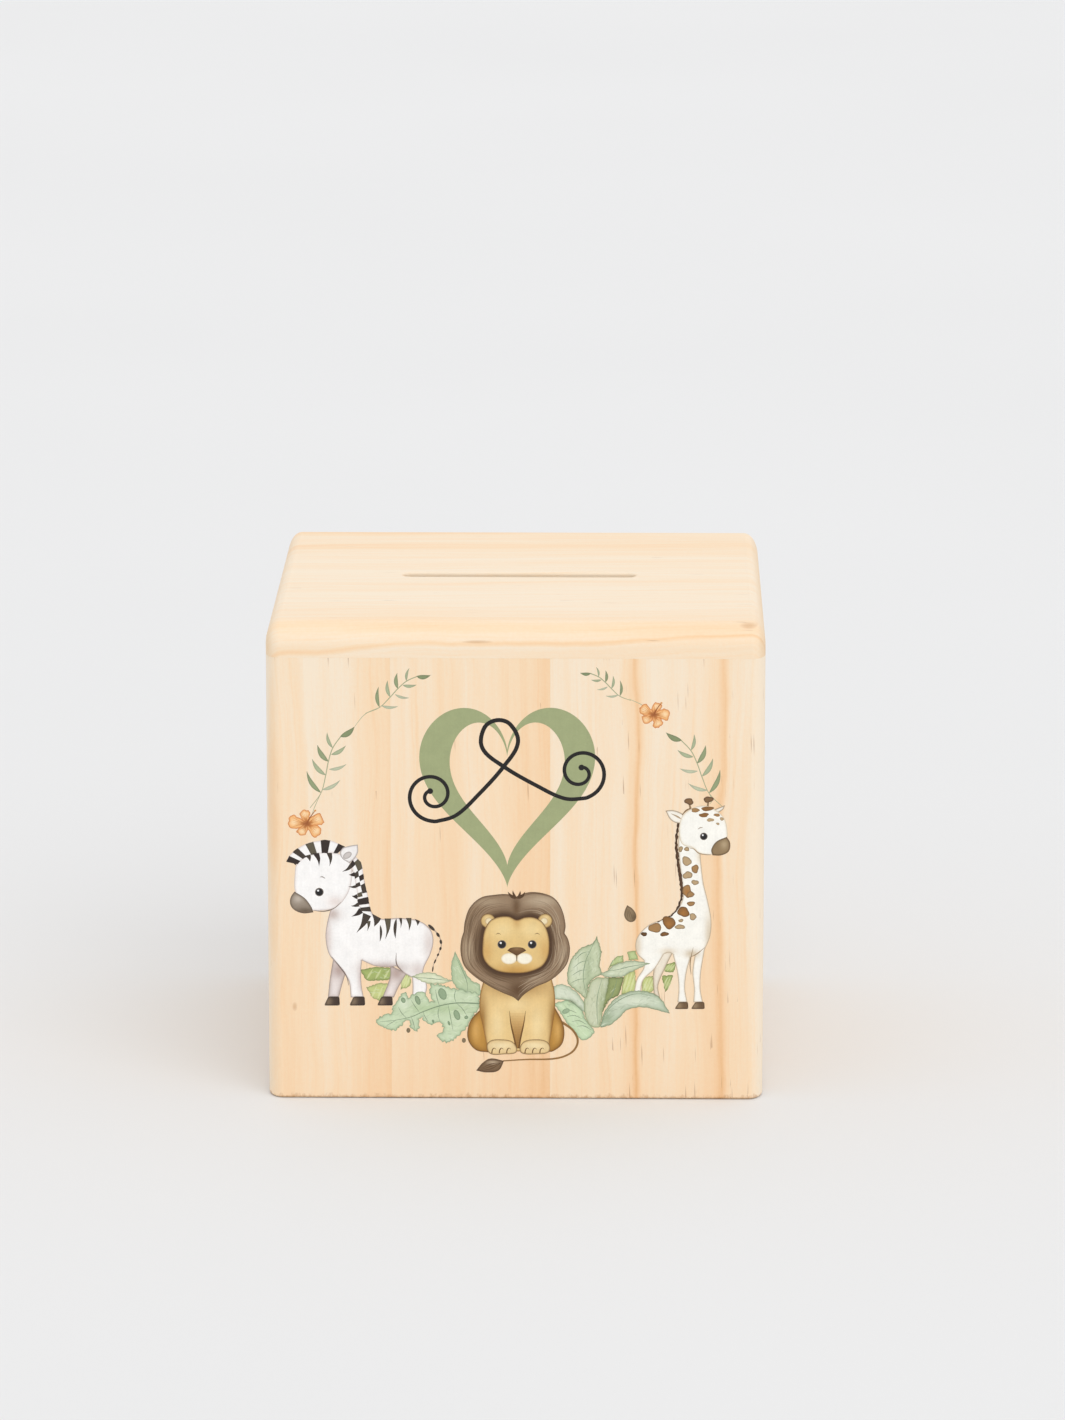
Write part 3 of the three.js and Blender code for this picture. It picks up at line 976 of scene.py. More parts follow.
def zebra_head(art):
    head = loop(
        (-43.9, 48.7), (-44.3, 46.4), (-44.3, 43.1), (-43.0, 40.4), (-41.5, 39.1), (-38.6, 39.0),
        (-36.3, 39.5), (-34.9, 40.6), (-33.4, 43.1), (-32.8, 46.0), (-33.1, 48.7), (-34.3, 50.3),
        (-36.9, 51.0), (-39.8, 51.0), (-42.3, 50.2),
    )
    cheeks = [(tone(232, 219, 213), -36.0, 40.8, 1.8, 1.2), (WHITE, -35.2, 45.5, 1.8, 3.5)]
    art.fill(head, WHITE, rim=tone(232, 222, 217), reach=0.8, soft=cheeks, edge=tone(206, 194, 188))
    art.line([(-40.6, 39.0), (-38.6, 38.8), (-36.5, 39.4), (-35.1, 40.7)], OUTLINE, 0.08, 0.22, 0.06)
    snout = outline(
        [(-44.4, 42.9), (-45.2, 41.6), (-45.2, 40.1), (-44.3, 39.0), (-42.6, 38.4), (-40.6, 38.6)],
        [(-41.1, 39.9), (-42.4, 41.6), (-44.4, 42.9)],
    )
    sheen = [(tone(192, 180, 166), -43.7, 41.4, 1.0, 0.8), (tone(104, 88, 70), -42.2, 38.9, 2.0, 0.7)]
    art.fill(snout, tone(152, 138, 122), rim=tone(106, 90, 74), reach=0.7, soft=sheen, edge=tone(92, 76, 60))


def zebra_mane(art):
    """Blocks of dark hair along the forehead and down the neck, and spikes of it on the coat beside them."""
    chance = random.Random("zebra")
    crest = [(-46.0, 49.1), (-45.4, 50.3), (-43.9, 51.7), (-41.7, 52.9), (-39.4, 53.4), (-37.2, 53.5),
             (-34.2, 52.2)]
    brow = [(-43.7, 48.6), (-42.7, 49.6), (-41.1, 50.4), (-39.1, 50.8), (-37.2, 50.9), (-35.6, 50.8)]
    nape = [(-32.0, 50.1), (-30.9, 48.7), (-30.5, 46.4), (-30.2, 44.4), (-29.7, 42.4), (-29.3, 40.1),
            (-29.0, 38.8)]
    neck = [(-33.2, 48.7), (-32.4, 46.4), (-32.1, 44.4), (-31.8, 42.7), (-31.7, 40.8), (-31.0, 38.8)]
    whole, outer_half, inner_half = 0, 1, -1
    forehead = (
        (0.0, 0.1, whole, BLACK), (0.17, 0.27, whole, STRIPE), (0.39, 0.52, whole, OLIVE),
        (0.63, 0.77, whole, BLACK), (0.89, 1.0, whole, BLACK),
    )
    down_neck = (
        (0.05, 0.24, outer_half, OLIVE), (0.0, 0.1, inner_half, BLACK), (0.22, 0.33, inner_half, STRIPE),
        (0.33, 0.43, outer_half, BLACK), (0.43, 0.51, inner_half, STRIPE), (0.5, 0.66, outer_half, STRIPE),
        (0.62, 0.71, inner_half, OLIVE), (0.74, 0.86, whole, BLACK), (0.92, 1.0, whole, STRIPE),
    )
    for outer, inner, blocks in ((crest, brow, forehead), (nape, neck, down_neck)):
        art.fill(np.vstack([part(outer, 0, 1), part(inner, 0, 1)[::-1]]), WHITE, rim=MAUVE, reach=0.5)
        for start, end, share, colour in blocks:
            far, near = part(outer, start, end), part(inner, start, end)
            middle = [(far[-1] + near[-1]) / 2, (far[0] + near[0]) / 2]
            far = middle[::-1] if share == inner_half else far
            near = middle if share == outer_half else near[::-1]
            block = np.vstack([far, near])
            art.fill(frayed(block, 0.06, chance), colour, rim=colour * 0.7, reach=0.3)
    spikes = (
        ((-34.8, 47.0), (-33.1, 48.8), (-32.7, 47.9)), ((-33.5, 46.4), (-32.3, 47.0), (-32.2, 46.0)),
        ((-33.6, 44.0), (-32.0, 44.3), (-32.0, 43.6)), ((-32.9, 42.0), (-31.8, 42.4), (-31.7, 41.3)),
        ((-33.1, 39.9), (-31.5, 40.8), (-31.4, 39.8)), ((-33.0, 37.7), (-31.4, 39.5), (-30.6, 38.5)),
        ((-41.2, 49.1), (-42.3, 50.3), (-41.1, 50.6)), ((-39.4, 48.1), (-40.7, 50.8), (-39.4, 50.9)),
        ((-37.3, 48.1), (-37.9, 50.9), (-36.8, 50.9)), ((-44.0, 48.3), (-46.0, 49.4), (-44.6, 49.6)),
    )
    for i, (tip, left, right) in enumerate(spikes):
        art.fill(horn(tip, left, right, 0.09), (STRIPE, BLACK)[i % 2])


def spread(shape, centre, angles):
    """How far a round outline is from its centre, at angles that are counted from straight up."""
    away = shape - centre
    turn = np.arctan2(away[:, 0], away[:, 1])
    order = np.argsort(turn)
    return np.interp(angles, turn[order], np.linalg.norm(away[order], axis=1), period=2 * math.pi)


def strands(art, inner, outer, centre, count, colours):
    """Hairs in a mane. They run round the face from the parting down to the chin, between two outlines."""
    chance = random.Random("mane")
    for i in range(count):
        side = 1 if i % 2 else -1
        start = chance.uniform(0.0, 0.8) * math.pi
        share = np.linspace(0, 1, 5)
        angles = side * np.minimum(start + share * chance.uniform(0.14, 0.4) * math.pi, 0.985 * math.pi)
        place = np.clip(chance.uniform(0.1, 0.9) + share * chance.uniform(-0.16, 0.22), 0.05, 0.95)
        low, high = spread(inner, centre, angles), spread(outer, centre, angles)
        far = low + (high - low) * place
        points = centre + np.stack([far * np.sin(angles), far * np.cos(angles)], axis=1)
        hair = stroke(points, 0.03, chance.uniform(0.14, 0.3), 0.03)
        art.glaze(hair, colours[i % len(colours)], 0, chance.uniform(0.25, 0.55))


DUSK, PALE_FUR = tone(84, 58, 32), tone(190, 169, 142)


def lion():
    art = Figure("print_lion")
    face = loop(
        (0.3, 37.0), (-1.3, 37.7), (-3.4, 37.6), (-5.1, 36.8), (-6.2, 34.8), (-6.6, 32.1), (-6.5, 29.3),
        (-5.4, 27.5), (-3.4, 26.3), (-0.4, 25.9), (2.5, 26.1), (5.2, 27.2), (6.5, 29.0), (6.9, 31.5),
        (6.6, 34.2), (5.5, 36.5), (3.7, 37.5), (1.9, 37.5),
    )
    lion_tail(art)
    lion_body(art)
    lion_mane(art, face)
    lion_face(art, face)
    return art


def lion_tail(art):
    tail = [(9.4, 15.7), (11.6, 14.0), (12.6, 11.9), (11.9, 9.9), (10.0, 8.6), (7.3, 8.0), (2.5, 7.9),
            (-2.5, 7.6)]
    art.line(tail, tone(146, 108, 58), 0.5, 0.34, 0.22)
    tuft = outline(
        [(-2.3, 7.6), (-3.4, 5.6), (-5.8, 5.2), (-7.9, 5.6)],
        [(-6.6, 7.2), (-5.0, 8.1), (-2.3, 7.6)],
    )
    sheen = [(PALE_FUR, -4.6, 7.3, 1.2, 0.35)]
    art.fill(tuft, tone(124, 98, 70), rim=tone(84, 60, 38), reach=0.7, soft=sheen, edge=DUSK)
    for lift in (-0.5, 0.0, 0.5):
        art.line([(-2.9, 7.2), (-4.8, 6.5 + lift), (-7.0, 5.8 + lift * 0.4)], DUSK, 0.06, 0.15, 0.04)


def lion_body(art):
    haunches = (
        outline([(-7.0, 18.4), (-8.9, 16.3), (-9.7, 13.6), (-9.3, 11.4), (-7.8, 9.8), (-5.5, 9.4)],
                [(-5.2, 12.4), (-5.8, 15.7), (-7.0, 18.4)]),
        outline([(7.9, 18.9), (9.4, 16.0), (9.9, 13.6), (9.4, 11.1), (7.6, 9.6), (6.5, 9.5)],
                [(6.4, 13.0), (6.8, 16.0), (7.9, 18.9)]),
    )
    for haunch, x in zip(haunches, (-8.0, 8.6)):
        glow = [(tone(214, 166, 90), x, 14.0, 0.8, 2.2)]
        art.fill(haunch, tone(190, 140, 60), rim=tone(128, 84, 26), reach=1.5, soft=glow,
                 edge=tone(104, 70, 26))
    body = outline(
        [(-6.3, 24.8), (-7.1, 21.4), (-7.2, 18.1), (-6.5, 14.5), (-5.9, 11.4), (-5.5, 9.6)],
        [(6.8, 9.6)],
        [(7.0, 11.8), (7.6, 15.4), (8.0, 18.7), (7.9, 22.1), (7.3, 24.8)],
        [(-6.3, 24.8)],
    )
    shading = [
        (tone(160, 116, 52), -6.7, 15.6, 1.0, 6.2), (tone(160, 116, 52), 7.7, 15.6, 1.0, 6.2),
        (tone(168, 124, 64), 0.3, 23.6, 6.6, 2.4), (tone(243, 217, 162), -3.6, 15.0, 1.3, 3.6),
        (tone(243, 217, 162), 4.4, 15.0, 1.3, 3.6), (tone(241, 213, 156), 0.3, 19.2, 2.4, 1.4),
    ]
    art.fill(body, tone(234, 201, 138), rim=tone(150, 104, 42), reach=0.6, soft=shading,
             edge=tone(142, 98, 38))
    legs = (
        [(-1.2, 18.1), (-0.9, 15.4), (-0.3, 12.6), (0.2, 10.2)],
        [(2.1, 18.1), (1.7, 15.4), (1.1, 12.6), (0.7, 10.2)],
    )
    for start in np.linspace(0.06, 0.9, 13):
        gap = np.vstack([part(legs[0], start, 1), part(legs[1], start, 1)[::-1]])
        art.glaze(gap, tone(158, 108, 40) * (1.3 - 0.8 * start), 0, 0.17)
    for points in legs:
        art.line(points, tone(112, 76, 30), 0.06, 0.3, 0.34)
    pencil = tone(112, 80, 44)
    paws = (
        loop((-5.8, 10.8), (-4.9, 11.9), (-2.8, 12.1), (-0.7, 11.7), (0.3, 10.4), (0.1, 9.3), (-2.2, 9.0),
             (-5.1, 9.1)),
        loop((0.9, 10.4), (1.8, 11.7), (4.0, 12.1), (6.1, 11.8), (7.0, 10.7), (6.7, 9.4), (4.3, 9.0),
             (1.3, 9.2)),
    )
    for paw, middle in zip(paws, (-2.8, 3.9)):
        glow = [(tone(246, 226, 180), middle, 10.8, 2.0, 0.6)]
        art.fill(paw, tone(232, 204, 150), rim=tone(168, 128, 70), reach=0.5, soft=glow, edge=pencil)
        for x in (middle - 1.5, middle, middle + 1.5):
            art.line([(x - 0.45, 9.2), (x - 0.35, 9.9), (x + 0.05, 10.3), (x + 0.4, 10.0)],
                     pencil, 0.24, 0.2, 0.05)


def lion_mane(art, face):
    """A dark wreath of hair round the face, darkest beside it."""
    mane = outline(
        [(0.2, 41.8), (-1.6, 42.3), (-3.9, 42.2), (-6.9, 41.6), (-9.1, 39.6), (-10.1, 36.9), (-10.4, 34.5)],
        [(-10.9, 32.7), (-11.0, 30.2), (-10.3, 27.5), (-8.4, 25.4), (-5.4, 23.3), (-2.5, 21.8), (-0.4, 20.9),
         (0.6, 20.1)],
        [(1.7, 21.4), (4.0, 23.0), (6.7, 24.2), (9.0, 26.0), (10.5, 28.1), (11.0, 30.8), (10.6, 33.0),
         (9.9, 34.2)],
        [(10.1, 36.0), (9.3, 39.3), (7.8, 41.5), (5.5, 42.5), (2.8, 42.7), (0.9, 42.1), (0.2, 41.8)],
    )
    shading = [
        (PALE_FUR, 5.4, 40.9, 3.0, 1.1), (tone(176, 154, 126), -9.4, 30.6, 1.1, 2.8),
        (tone(178, 156, 128), 9.6, 29.2, 1.0, 3.0), (tone(172, 149, 121), -5.6, 40.6, 2.6, 1.0),
        (tone(96, 68, 40), 0.5, 22.4, 2.4, 2.4), (tone(108, 80, 52), 0.2, 39.6, 0.9, 2.4),
    ]
    art.fill(mane, tone(150, 125, 98), rim=tone(108, 82, 56), reach=0.7, soft=shading, edge=tone(88, 64, 40))
    art.glaze(grown(face, 2.6), tone(96, 68, 40), 2.4, 0.8)
    furs = (DUSK, PALE_FUR, tone(108, 82, 54), tone(96, 70, 44))
    strands(art, face, mane, np.array([0.2, 31.6]), 130, furs)
    art.glaze(grown(face, 1.3), tone(72, 46, 22), 1.2, 0.95)
    for tip, width in (((-1.5, 42.8), 0.62), ((-0.5, 43.1), 0.5), ((1.0, 43.0), 0.5), ((2.0, 42.8), 0.62)):
        art.fill(blade((0.35, 41.4), tip, width, math.copysign(0.12, -tip[0])), DUSK)


def lion_face(art, face):
    for side in (-1, 1):
        glow = [(tone(236, 208, 152), 0.25 + side * 5.9, 37.4, 0.6, 0.5)]
        ear = oval(0.25 + side * 5.75, 36.8, 1.5, 1.5)
        hollow = oval(0.25 + side * 5.55, 36.7, 0.78, 0.78)
        art.fill(ear, tone(216, 184, 122), rim=tone(160, 122, 70), reach=0.5, soft=glow,
                 edge=tone(98, 66, 34))
        art.fill(hollow, tone(242, 226, 186), rim=tone(196, 160, 108), reach=0.4)
    shading = [
        (tone(206, 160, 84), 0.2, 26.5, 4.8, 1.4), (tone(240, 213, 154), -2.6, 35.0, 2.2, 1.6),
        (tone(240, 213, 154), 3.2, 35.0, 2.2, 1.6), (tone(214, 172, 104), -5.8, 30.4, 1.2, 2.6),
        (tone(214, 172, 104), 6.2, 30.4, 1.2, 2.6), (tone(212, 172, 108), 0.3, 36.6, 0.8, 1.2),
    ]
    art.fill(face, tone(230, 197, 132), rim=tone(150, 106, 50), reach=0.6, soft=shading,
             edge=tone(96, 64, 28))
    for x in (-1.25, 1.85):
        art.fill(oval(x, 28.95, 1.62, 1.2), tone(251, 245, 226), rim=tone(222, 198, 154), reach=0.45)
    nose = outline(
        [(-1.6, 30.6), (-1.0, 31.15), (0.3, 31.3), (1.6, 31.15), (2.2, 30.6)],
        [(1.3, 30.1), (0.3, 29.5)],
        [(-0.7, 30.1), (-1.6, 30.6)],
    )
    sheen = [(tone(150, 116, 76), 0.3, 31.0, 0.9, 0.25)]
    art.fill(nose, tone(108, 76, 42), rim=tone(78, 52, 28), reach=0.4, soft=sheen)
    art.line([(0.3, 29.7), (0.3, 28.4)], tone(98, 68, 38), 0.26, 0.2, 0.12)
    for x in (-2.7, 3.4):
        eye(art, x, 31.9, 0.9)
    for left in (-3.9, 3.9):
        art.line([(left, 34.0), (left + 0.5, 34.2), (left + 1.0, 33.95)], tone(140, 112, 70), 0.06, 0.2, 0.06)


CREAM, BARK = tone(252, 250, 242), tone(88, 60, 36)
DARK_SPOT, SPOT, PALE_SPOT = tone(142, 98, 48), tone(168, 128, 80), tone(190, 162, 122)


def giraffe():
    art = Figure("print_giraffe")
    giraffe_body(art)
    giraffe_coat(art)
    giraffe_head(art)
    return art


def giraffe_body(art):
    tuft = outline([
        (22.5, 40.0), (23.6, 39.2), (24.3, 38.0), (24.1, 36.9), (23.2, 36.5), (22.3, 37.0), (21.9, 38.0),
        (22.1, 39.1), (22.5, 40.0),
    ])
    shade = [(tone(108, 88, 62), 23.9, 37.4, 0.6, 1.0)]
    art.fill(tuft, tone(146, 124, 94), rim=tone(112, 92, 66), reach=0.5, soft=shade, edge=tone(96, 76, 52))
    for shift in (-0.5, 0.0, 0.5):
        art.glaze(blade((22.6 + shift * 0.4, 39.3), (23.2 + shift, 36.9), 0.2), tone(96, 76, 52), 0, 0.5)
    far_leg = outline([(28.8, 30.4), (27.8, 26.0), (27.9, 21.6)], [(29.2, 20.6)],
                      [(28.8, 23.3), (30.2, 27.0), (31.8, 30.4)])
    art.fill(far_leg, tone(240, 230, 212), rim=tone(198, 178, 150), reach=0.7, edge=tone(160, 138, 108))
    body = outline(
        [(32.9, 56.6), (32.7, 52.5), (33.0, 48.7), (33.5, 44.6), (33.7, 41.8), (32.7, 39.4), (30.3, 37.4),
         (27.0, 36.0), (25.0, 34.1), (24.2, 32.2), (24.5, 30.0), (25.9, 28.5)],
        [(25.8, 26.9), (24.5, 24.7), (23.9, 22.0)],
        [(25.3, 21.8)],
        [(25.8, 24.4), (28.1, 26.8), (29.9, 29.8)],
        [(30.9, 30.2), (31.7, 29.8)],
        [(32.6, 26.1), (32.9, 22.7), (32.7, 19.8)],
        [(34.7, 19.8)],
        [(34.2, 22.7), (34.5, 26.1), (35.3, 29.2)],
        [(36.1, 29.5)],
        [(35.7, 26.1), (36.0, 22.7), (35.9, 19.8)],
        [(37.8, 19.8)],
        [(37.3, 22.7), (37.4, 26.1), (38.1, 30.7)],
        [(39.2, 33.6), (39.4, 37.0), (38.7, 40.8), (37.8, 44.6), (37.3, 48.7), (37.1, 51.4)],
        [(32.9, 56.6)],
    )
    shading = [
        (tone(226, 211, 187), 39.0, 34.0, 0.9, 4.8), (tone(226, 211, 187), 24.6, 31.4, 0.8, 3.0),
        (tone(214, 196, 168), 35.6, 29.9, 1.6, 0.9), (tone(230, 217, 195), 30.8, 30.4, 1.6, 0.7),
        (tone(232, 220, 199), 37.0, 50.4, 0.6, 2.0),
    ]
    art.fill(body, CREAM, rim=tone(226, 212, 188), reach=0.5, soft=shading, edge=tone(182, 160, 130))
    for points in ([(35.3, 29.2), (36.7, 30.0), (38.1, 31.2)], [(35.4, 25.6), (35.2, 28.0), (35.8, 31.2)]):
        art.line(points, tone(150, 124, 92), 0.06, 0.22, 0.06)
    for left in (33.0, 36.3):
        hoof(art, left, left + 1.8, 19.9, 1.5, tone(112, 86, 58), tone(158, 134, 102))


def giraffe_coat(art):
    """The short mane down the back of the neck, and the spots, smaller and paler towards the head."""
    chance = random.Random("giraffe")
    mane = [(32.7, 57.0), (32.3, 52.8), (32.7, 48.7), (33.3, 44.6), (33.3, 41.2), (31.8, 38.2), (28.6, 36.5)]
    art.fill(frayed(stroke(mane, 0.45, 0.66, 0.16), 0.11, chance), BARK, edge=tone(66, 44, 26))
    spots = (
        (33.2, 51.6, 0.41, 0.61, PALE_SPOT), (34.4, 51.6, 0.47, 0.5, PALE_SPOT),
        (34.4, 49.1, 0.95, 0.95, PALE_SPOT), (36.1, 47.5, 0.78, 0.81, SPOT),
        (34.6, 46.2, 0.95, 0.78, PALE_SPOT), (36.1, 44.7, 0.7, 0.56, PALE_SPOT),
        (34.5, 42.9, 0.95, 1.25, SPOT), (35.2, 42.2, 0.8, 0.6, SPOT), (35.3, 40.3, 0.74, 0.54, SPOT),
        (33.8, 38.6, 1.15, 1.1, DARK_SPOT), (35.7, 37.6, 0.74, 0.68, PALE_SPOT),
        (33.3, 36.8, 0.51, 0.34, PALE_SPOT), (33.1, 35.5, 0.95, 0.54, PALE_SPOT),
        (30.9, 36.4, 1.3, 1.3, DARK_SPOT), (28.1, 35.3, 1.45, 0.9, SPOT),
        (30.0, 34.0, 0.85, 0.47, DARK_SPOT * 0.8), (25.9, 34.0, 0.58, 0.47, DARK_SPOT * 0.5),
    )
    for i, (x, z, across, up, colour) in enumerate(spots):
        glow = [(tone(172, 116, 54), x, z - up * 0.2, across * 0.5, up * 0.5)] if up > 1 else ()
        art.fill(blot(x, z, across, up, 1.7 * i), colour, rim=colour * 0.7, reach=0.4, soft=glow,
                 edge=colour * 0.5)


def giraffe_head(art):
    ears = (
        outline([(30.1, 59.5), (31.6, 59.6), (33.6, 58.8), (34.4, 57.6)],
                [(32.9, 56.9), (31.2, 57.6), (30.1, 59.5)]),
        outline([(39.8, 59.7), (42.0, 60.6)], [(41.6, 59.7), (40.2, 58.9)]),
    )
    for ear in ears:
        art.fill(ear, tone(247, 242, 230), rim=tone(206, 188, 160), reach=0.45, edge=tone(146, 122, 92))
    art.line([(31.2, 58.9), (32.3, 58.4), (33.6, 57.6)], tone(176, 152, 120), 0.06, 0.36, 0.1)
    for x, z, foot in ((34.8, 61.4, 35.2), (38.7, 61.8, 38.5)):
        art.line([(x, z), (foot, z - 2.0)], tone(150, 122, 88), 0.35, 0.36, 0.46)
        art.fill(blot(x, z, 0.92, 0.66, x), tone(130, 98, 64), rim=tone(96, 68, 42), reach=0.4, edge=BARK)
    head = loop(
        (33.6, 58.6), (32.9, 56.6), (32.9, 54.2), (33.6, 52.5), (35.6, 51.8), (36.9, 50.7), (39.3, 50.4),
        (40.9, 51.8), (42.4, 53.5), (42.5, 55.5), (41.9, 57.9), (40.2, 59.6), (38.2, 60.5), (35.9, 60.2),
    )
    art.fill(head, CREAM, rim=tone(236, 225, 204), reach=0.7, edge=tone(214, 198, 172))
    art.line([(34.6, 51.9), (35.8, 51.6), (36.9, 50.7), (39.2, 50.4)], tone(160, 134, 102), 0.06, 0.22, 0.1)
    marks = (
        (36.1, 59.6, 0.9, 0.42, SPOT), (38.5, 59.9, 1.15, 0.5, DARK_SPOT),
        (37.8, 58.6, 0.95, 0.46, DARK_SPOT), (39.1, 57.6, 0.68, 0.4, PALE_SPOT),
        (40.4, 58.6, 0.6, 0.34, SPOT), (41.4, 57.8, 0.42, 0.34, PALE_SPOT),
        (40.6, 56.8, 0.34, 0.26, PALE_SPOT),
    )
    for x, z, across, up, colour in marks:
        art.fill(blot(x, z, across, up, x), colour, rim=colour * 0.75, reach=0.3)
    art.line([(33.4, 58.6), (34.2, 59.5), (35.3, 60.1)], tone(134, 104, 68), 0.1, 0.32, 0.1)
    snout = outline(
        [(39.6, 50.3), (39.3, 51.4), (40.3, 53.1), (42.4, 54.1)],
        [(43.1, 52.8), (42.8, 51.1), (41.3, 50.3), (39.6, 50.3)],
    )
    sheen = [(tone(180, 158, 124), 41.9, 52.5, 0.7, 0.9)]
    art.fill(snout, tone(148, 123, 88), rim=tone(108, 85, 56), reach=0.6, soft=sheen, edge=tone(92, 70, 44))
    eye(art, 37.8, 54.2, 0.78)
    art.line([(36.6, 55.7), (37.1, 56.0), (37.6, 56.0)], tone(150, 126, 98), 0.06, 0.2, 0.06)


VEIN = tone(128, 148, 118)
DABS = 1.1  # brush marks per square millimetre of a leaf's box


def leaf(art, shape, colour, rim, veins=(), reach=1.0, soft=(), fray=0.1):
    """A leaf in watercolour: a frayed, pencilled edge, fine veins, and short brush marks along its length."""
    chance = random.Random(len(art.layers))
    shape = frayed(shape, fray, chance)
    art.fill(shape, colour, rim=rim, reach=reach, soft=soft, edge=rim * 0.7)
    low, high = shape.min(axis=0), shape.max(axis=0)
    length = np.linalg.svd(shape - shape.mean(axis=0), full_matrices=False)[2][0]
    for _ in range(round(DABS * np.prod(high - low))):
        start = np.array([chance.uniform(low[0], high[0]), chance.uniform(low[1], high[1])])
        lean = chance.uniform(-0.6, 0.6)
        run = (length + np.array([-length[1], length[0]]) * lean) * chance.uniform(0.6, 1.8)
        ends = np.array([start, start + run])
        dark = chance.random() < 0.55
        if inside(ends, shape).all():
            art.glaze(blade(*ends, 0.26, lean * 0.2), rim * 0.85 if dark else tone(232, 240, 220), 0, 0.24)
    for vein in veins:
        art.line(vein, VEIN, 0.05, 0.15, 0.05)


def jungle_back():
    """The split leaves that show between the zebra's legs and behind the giraffe's."""
    art = Figure("print_jungle_back")
    moss, lime = tone(166, 182, 108), tone(202, 210, 138)
    behind_zebra = (
        (moss, [(-31.3, 26.6), (-28.0, 27.2), (-24.5, 26.9)], [(-24.8, 25.0), (-27.8, 24.4), (-30.0, 24.4)],
         [(-31.3, 26.6)]),
        (lime, [(-30.0, 23.0), (-27.4, 23.8), (-24.8, 23.7)], [(-25.8, 20.7), (-27.4, 20.2)],
         [(-28.9, 21.0), (-30.0, 23.0)]),
        (lime, [(-23.1, 26.6), (-21.1, 25.2)], [(-21.2, 23.4), (-23.1, 22.5)], [(-23.1, 26.6)]),
    )
    behind_giraffe = (
        (lime, [(21.9, 25.5), (24.1, 26.6)], [(24.2, 22.2), (22.8, 21.6), (21.4, 21.5)], [(21.9, 25.5)]),
        (lime, [(25.5, 25.0), (27.7, 25.3)], [(27.7, 22.1), (25.5, 21.8)], [(25.5, 25.0)]),
        (moss, [(29.5, 25.3), (31.8, 25.5)], [(31.0, 23.1), (30.2, 22.0)], [(29.5, 25.3)]),
        (moss, [(30.2, 27.7), (32.2, 28.2)], [(32.0, 26.3), (31.1, 26.0), (30.0, 26.3)], [(30.2, 27.7)]),
    )
    for colour, *edges in behind_zebra + behind_giraffe:
        shape = outline(*edges)
        leaf(art, shape, colour, colour * 0.72, reach=0.8)
        low, high = shape.min(axis=0), shape.max(axis=0)
        for share in (0.3, 0.55, 0.8):
            x = low[0] + (high[0] - low[0]) * share
            gleam = blade((x - 0.7, low[1] + 0.3), (x + 0.6, high[1] - 0.3), 0.45)
            art.glaze(gleam, tone(226, 230, 176), 0, 0.5)
    return art


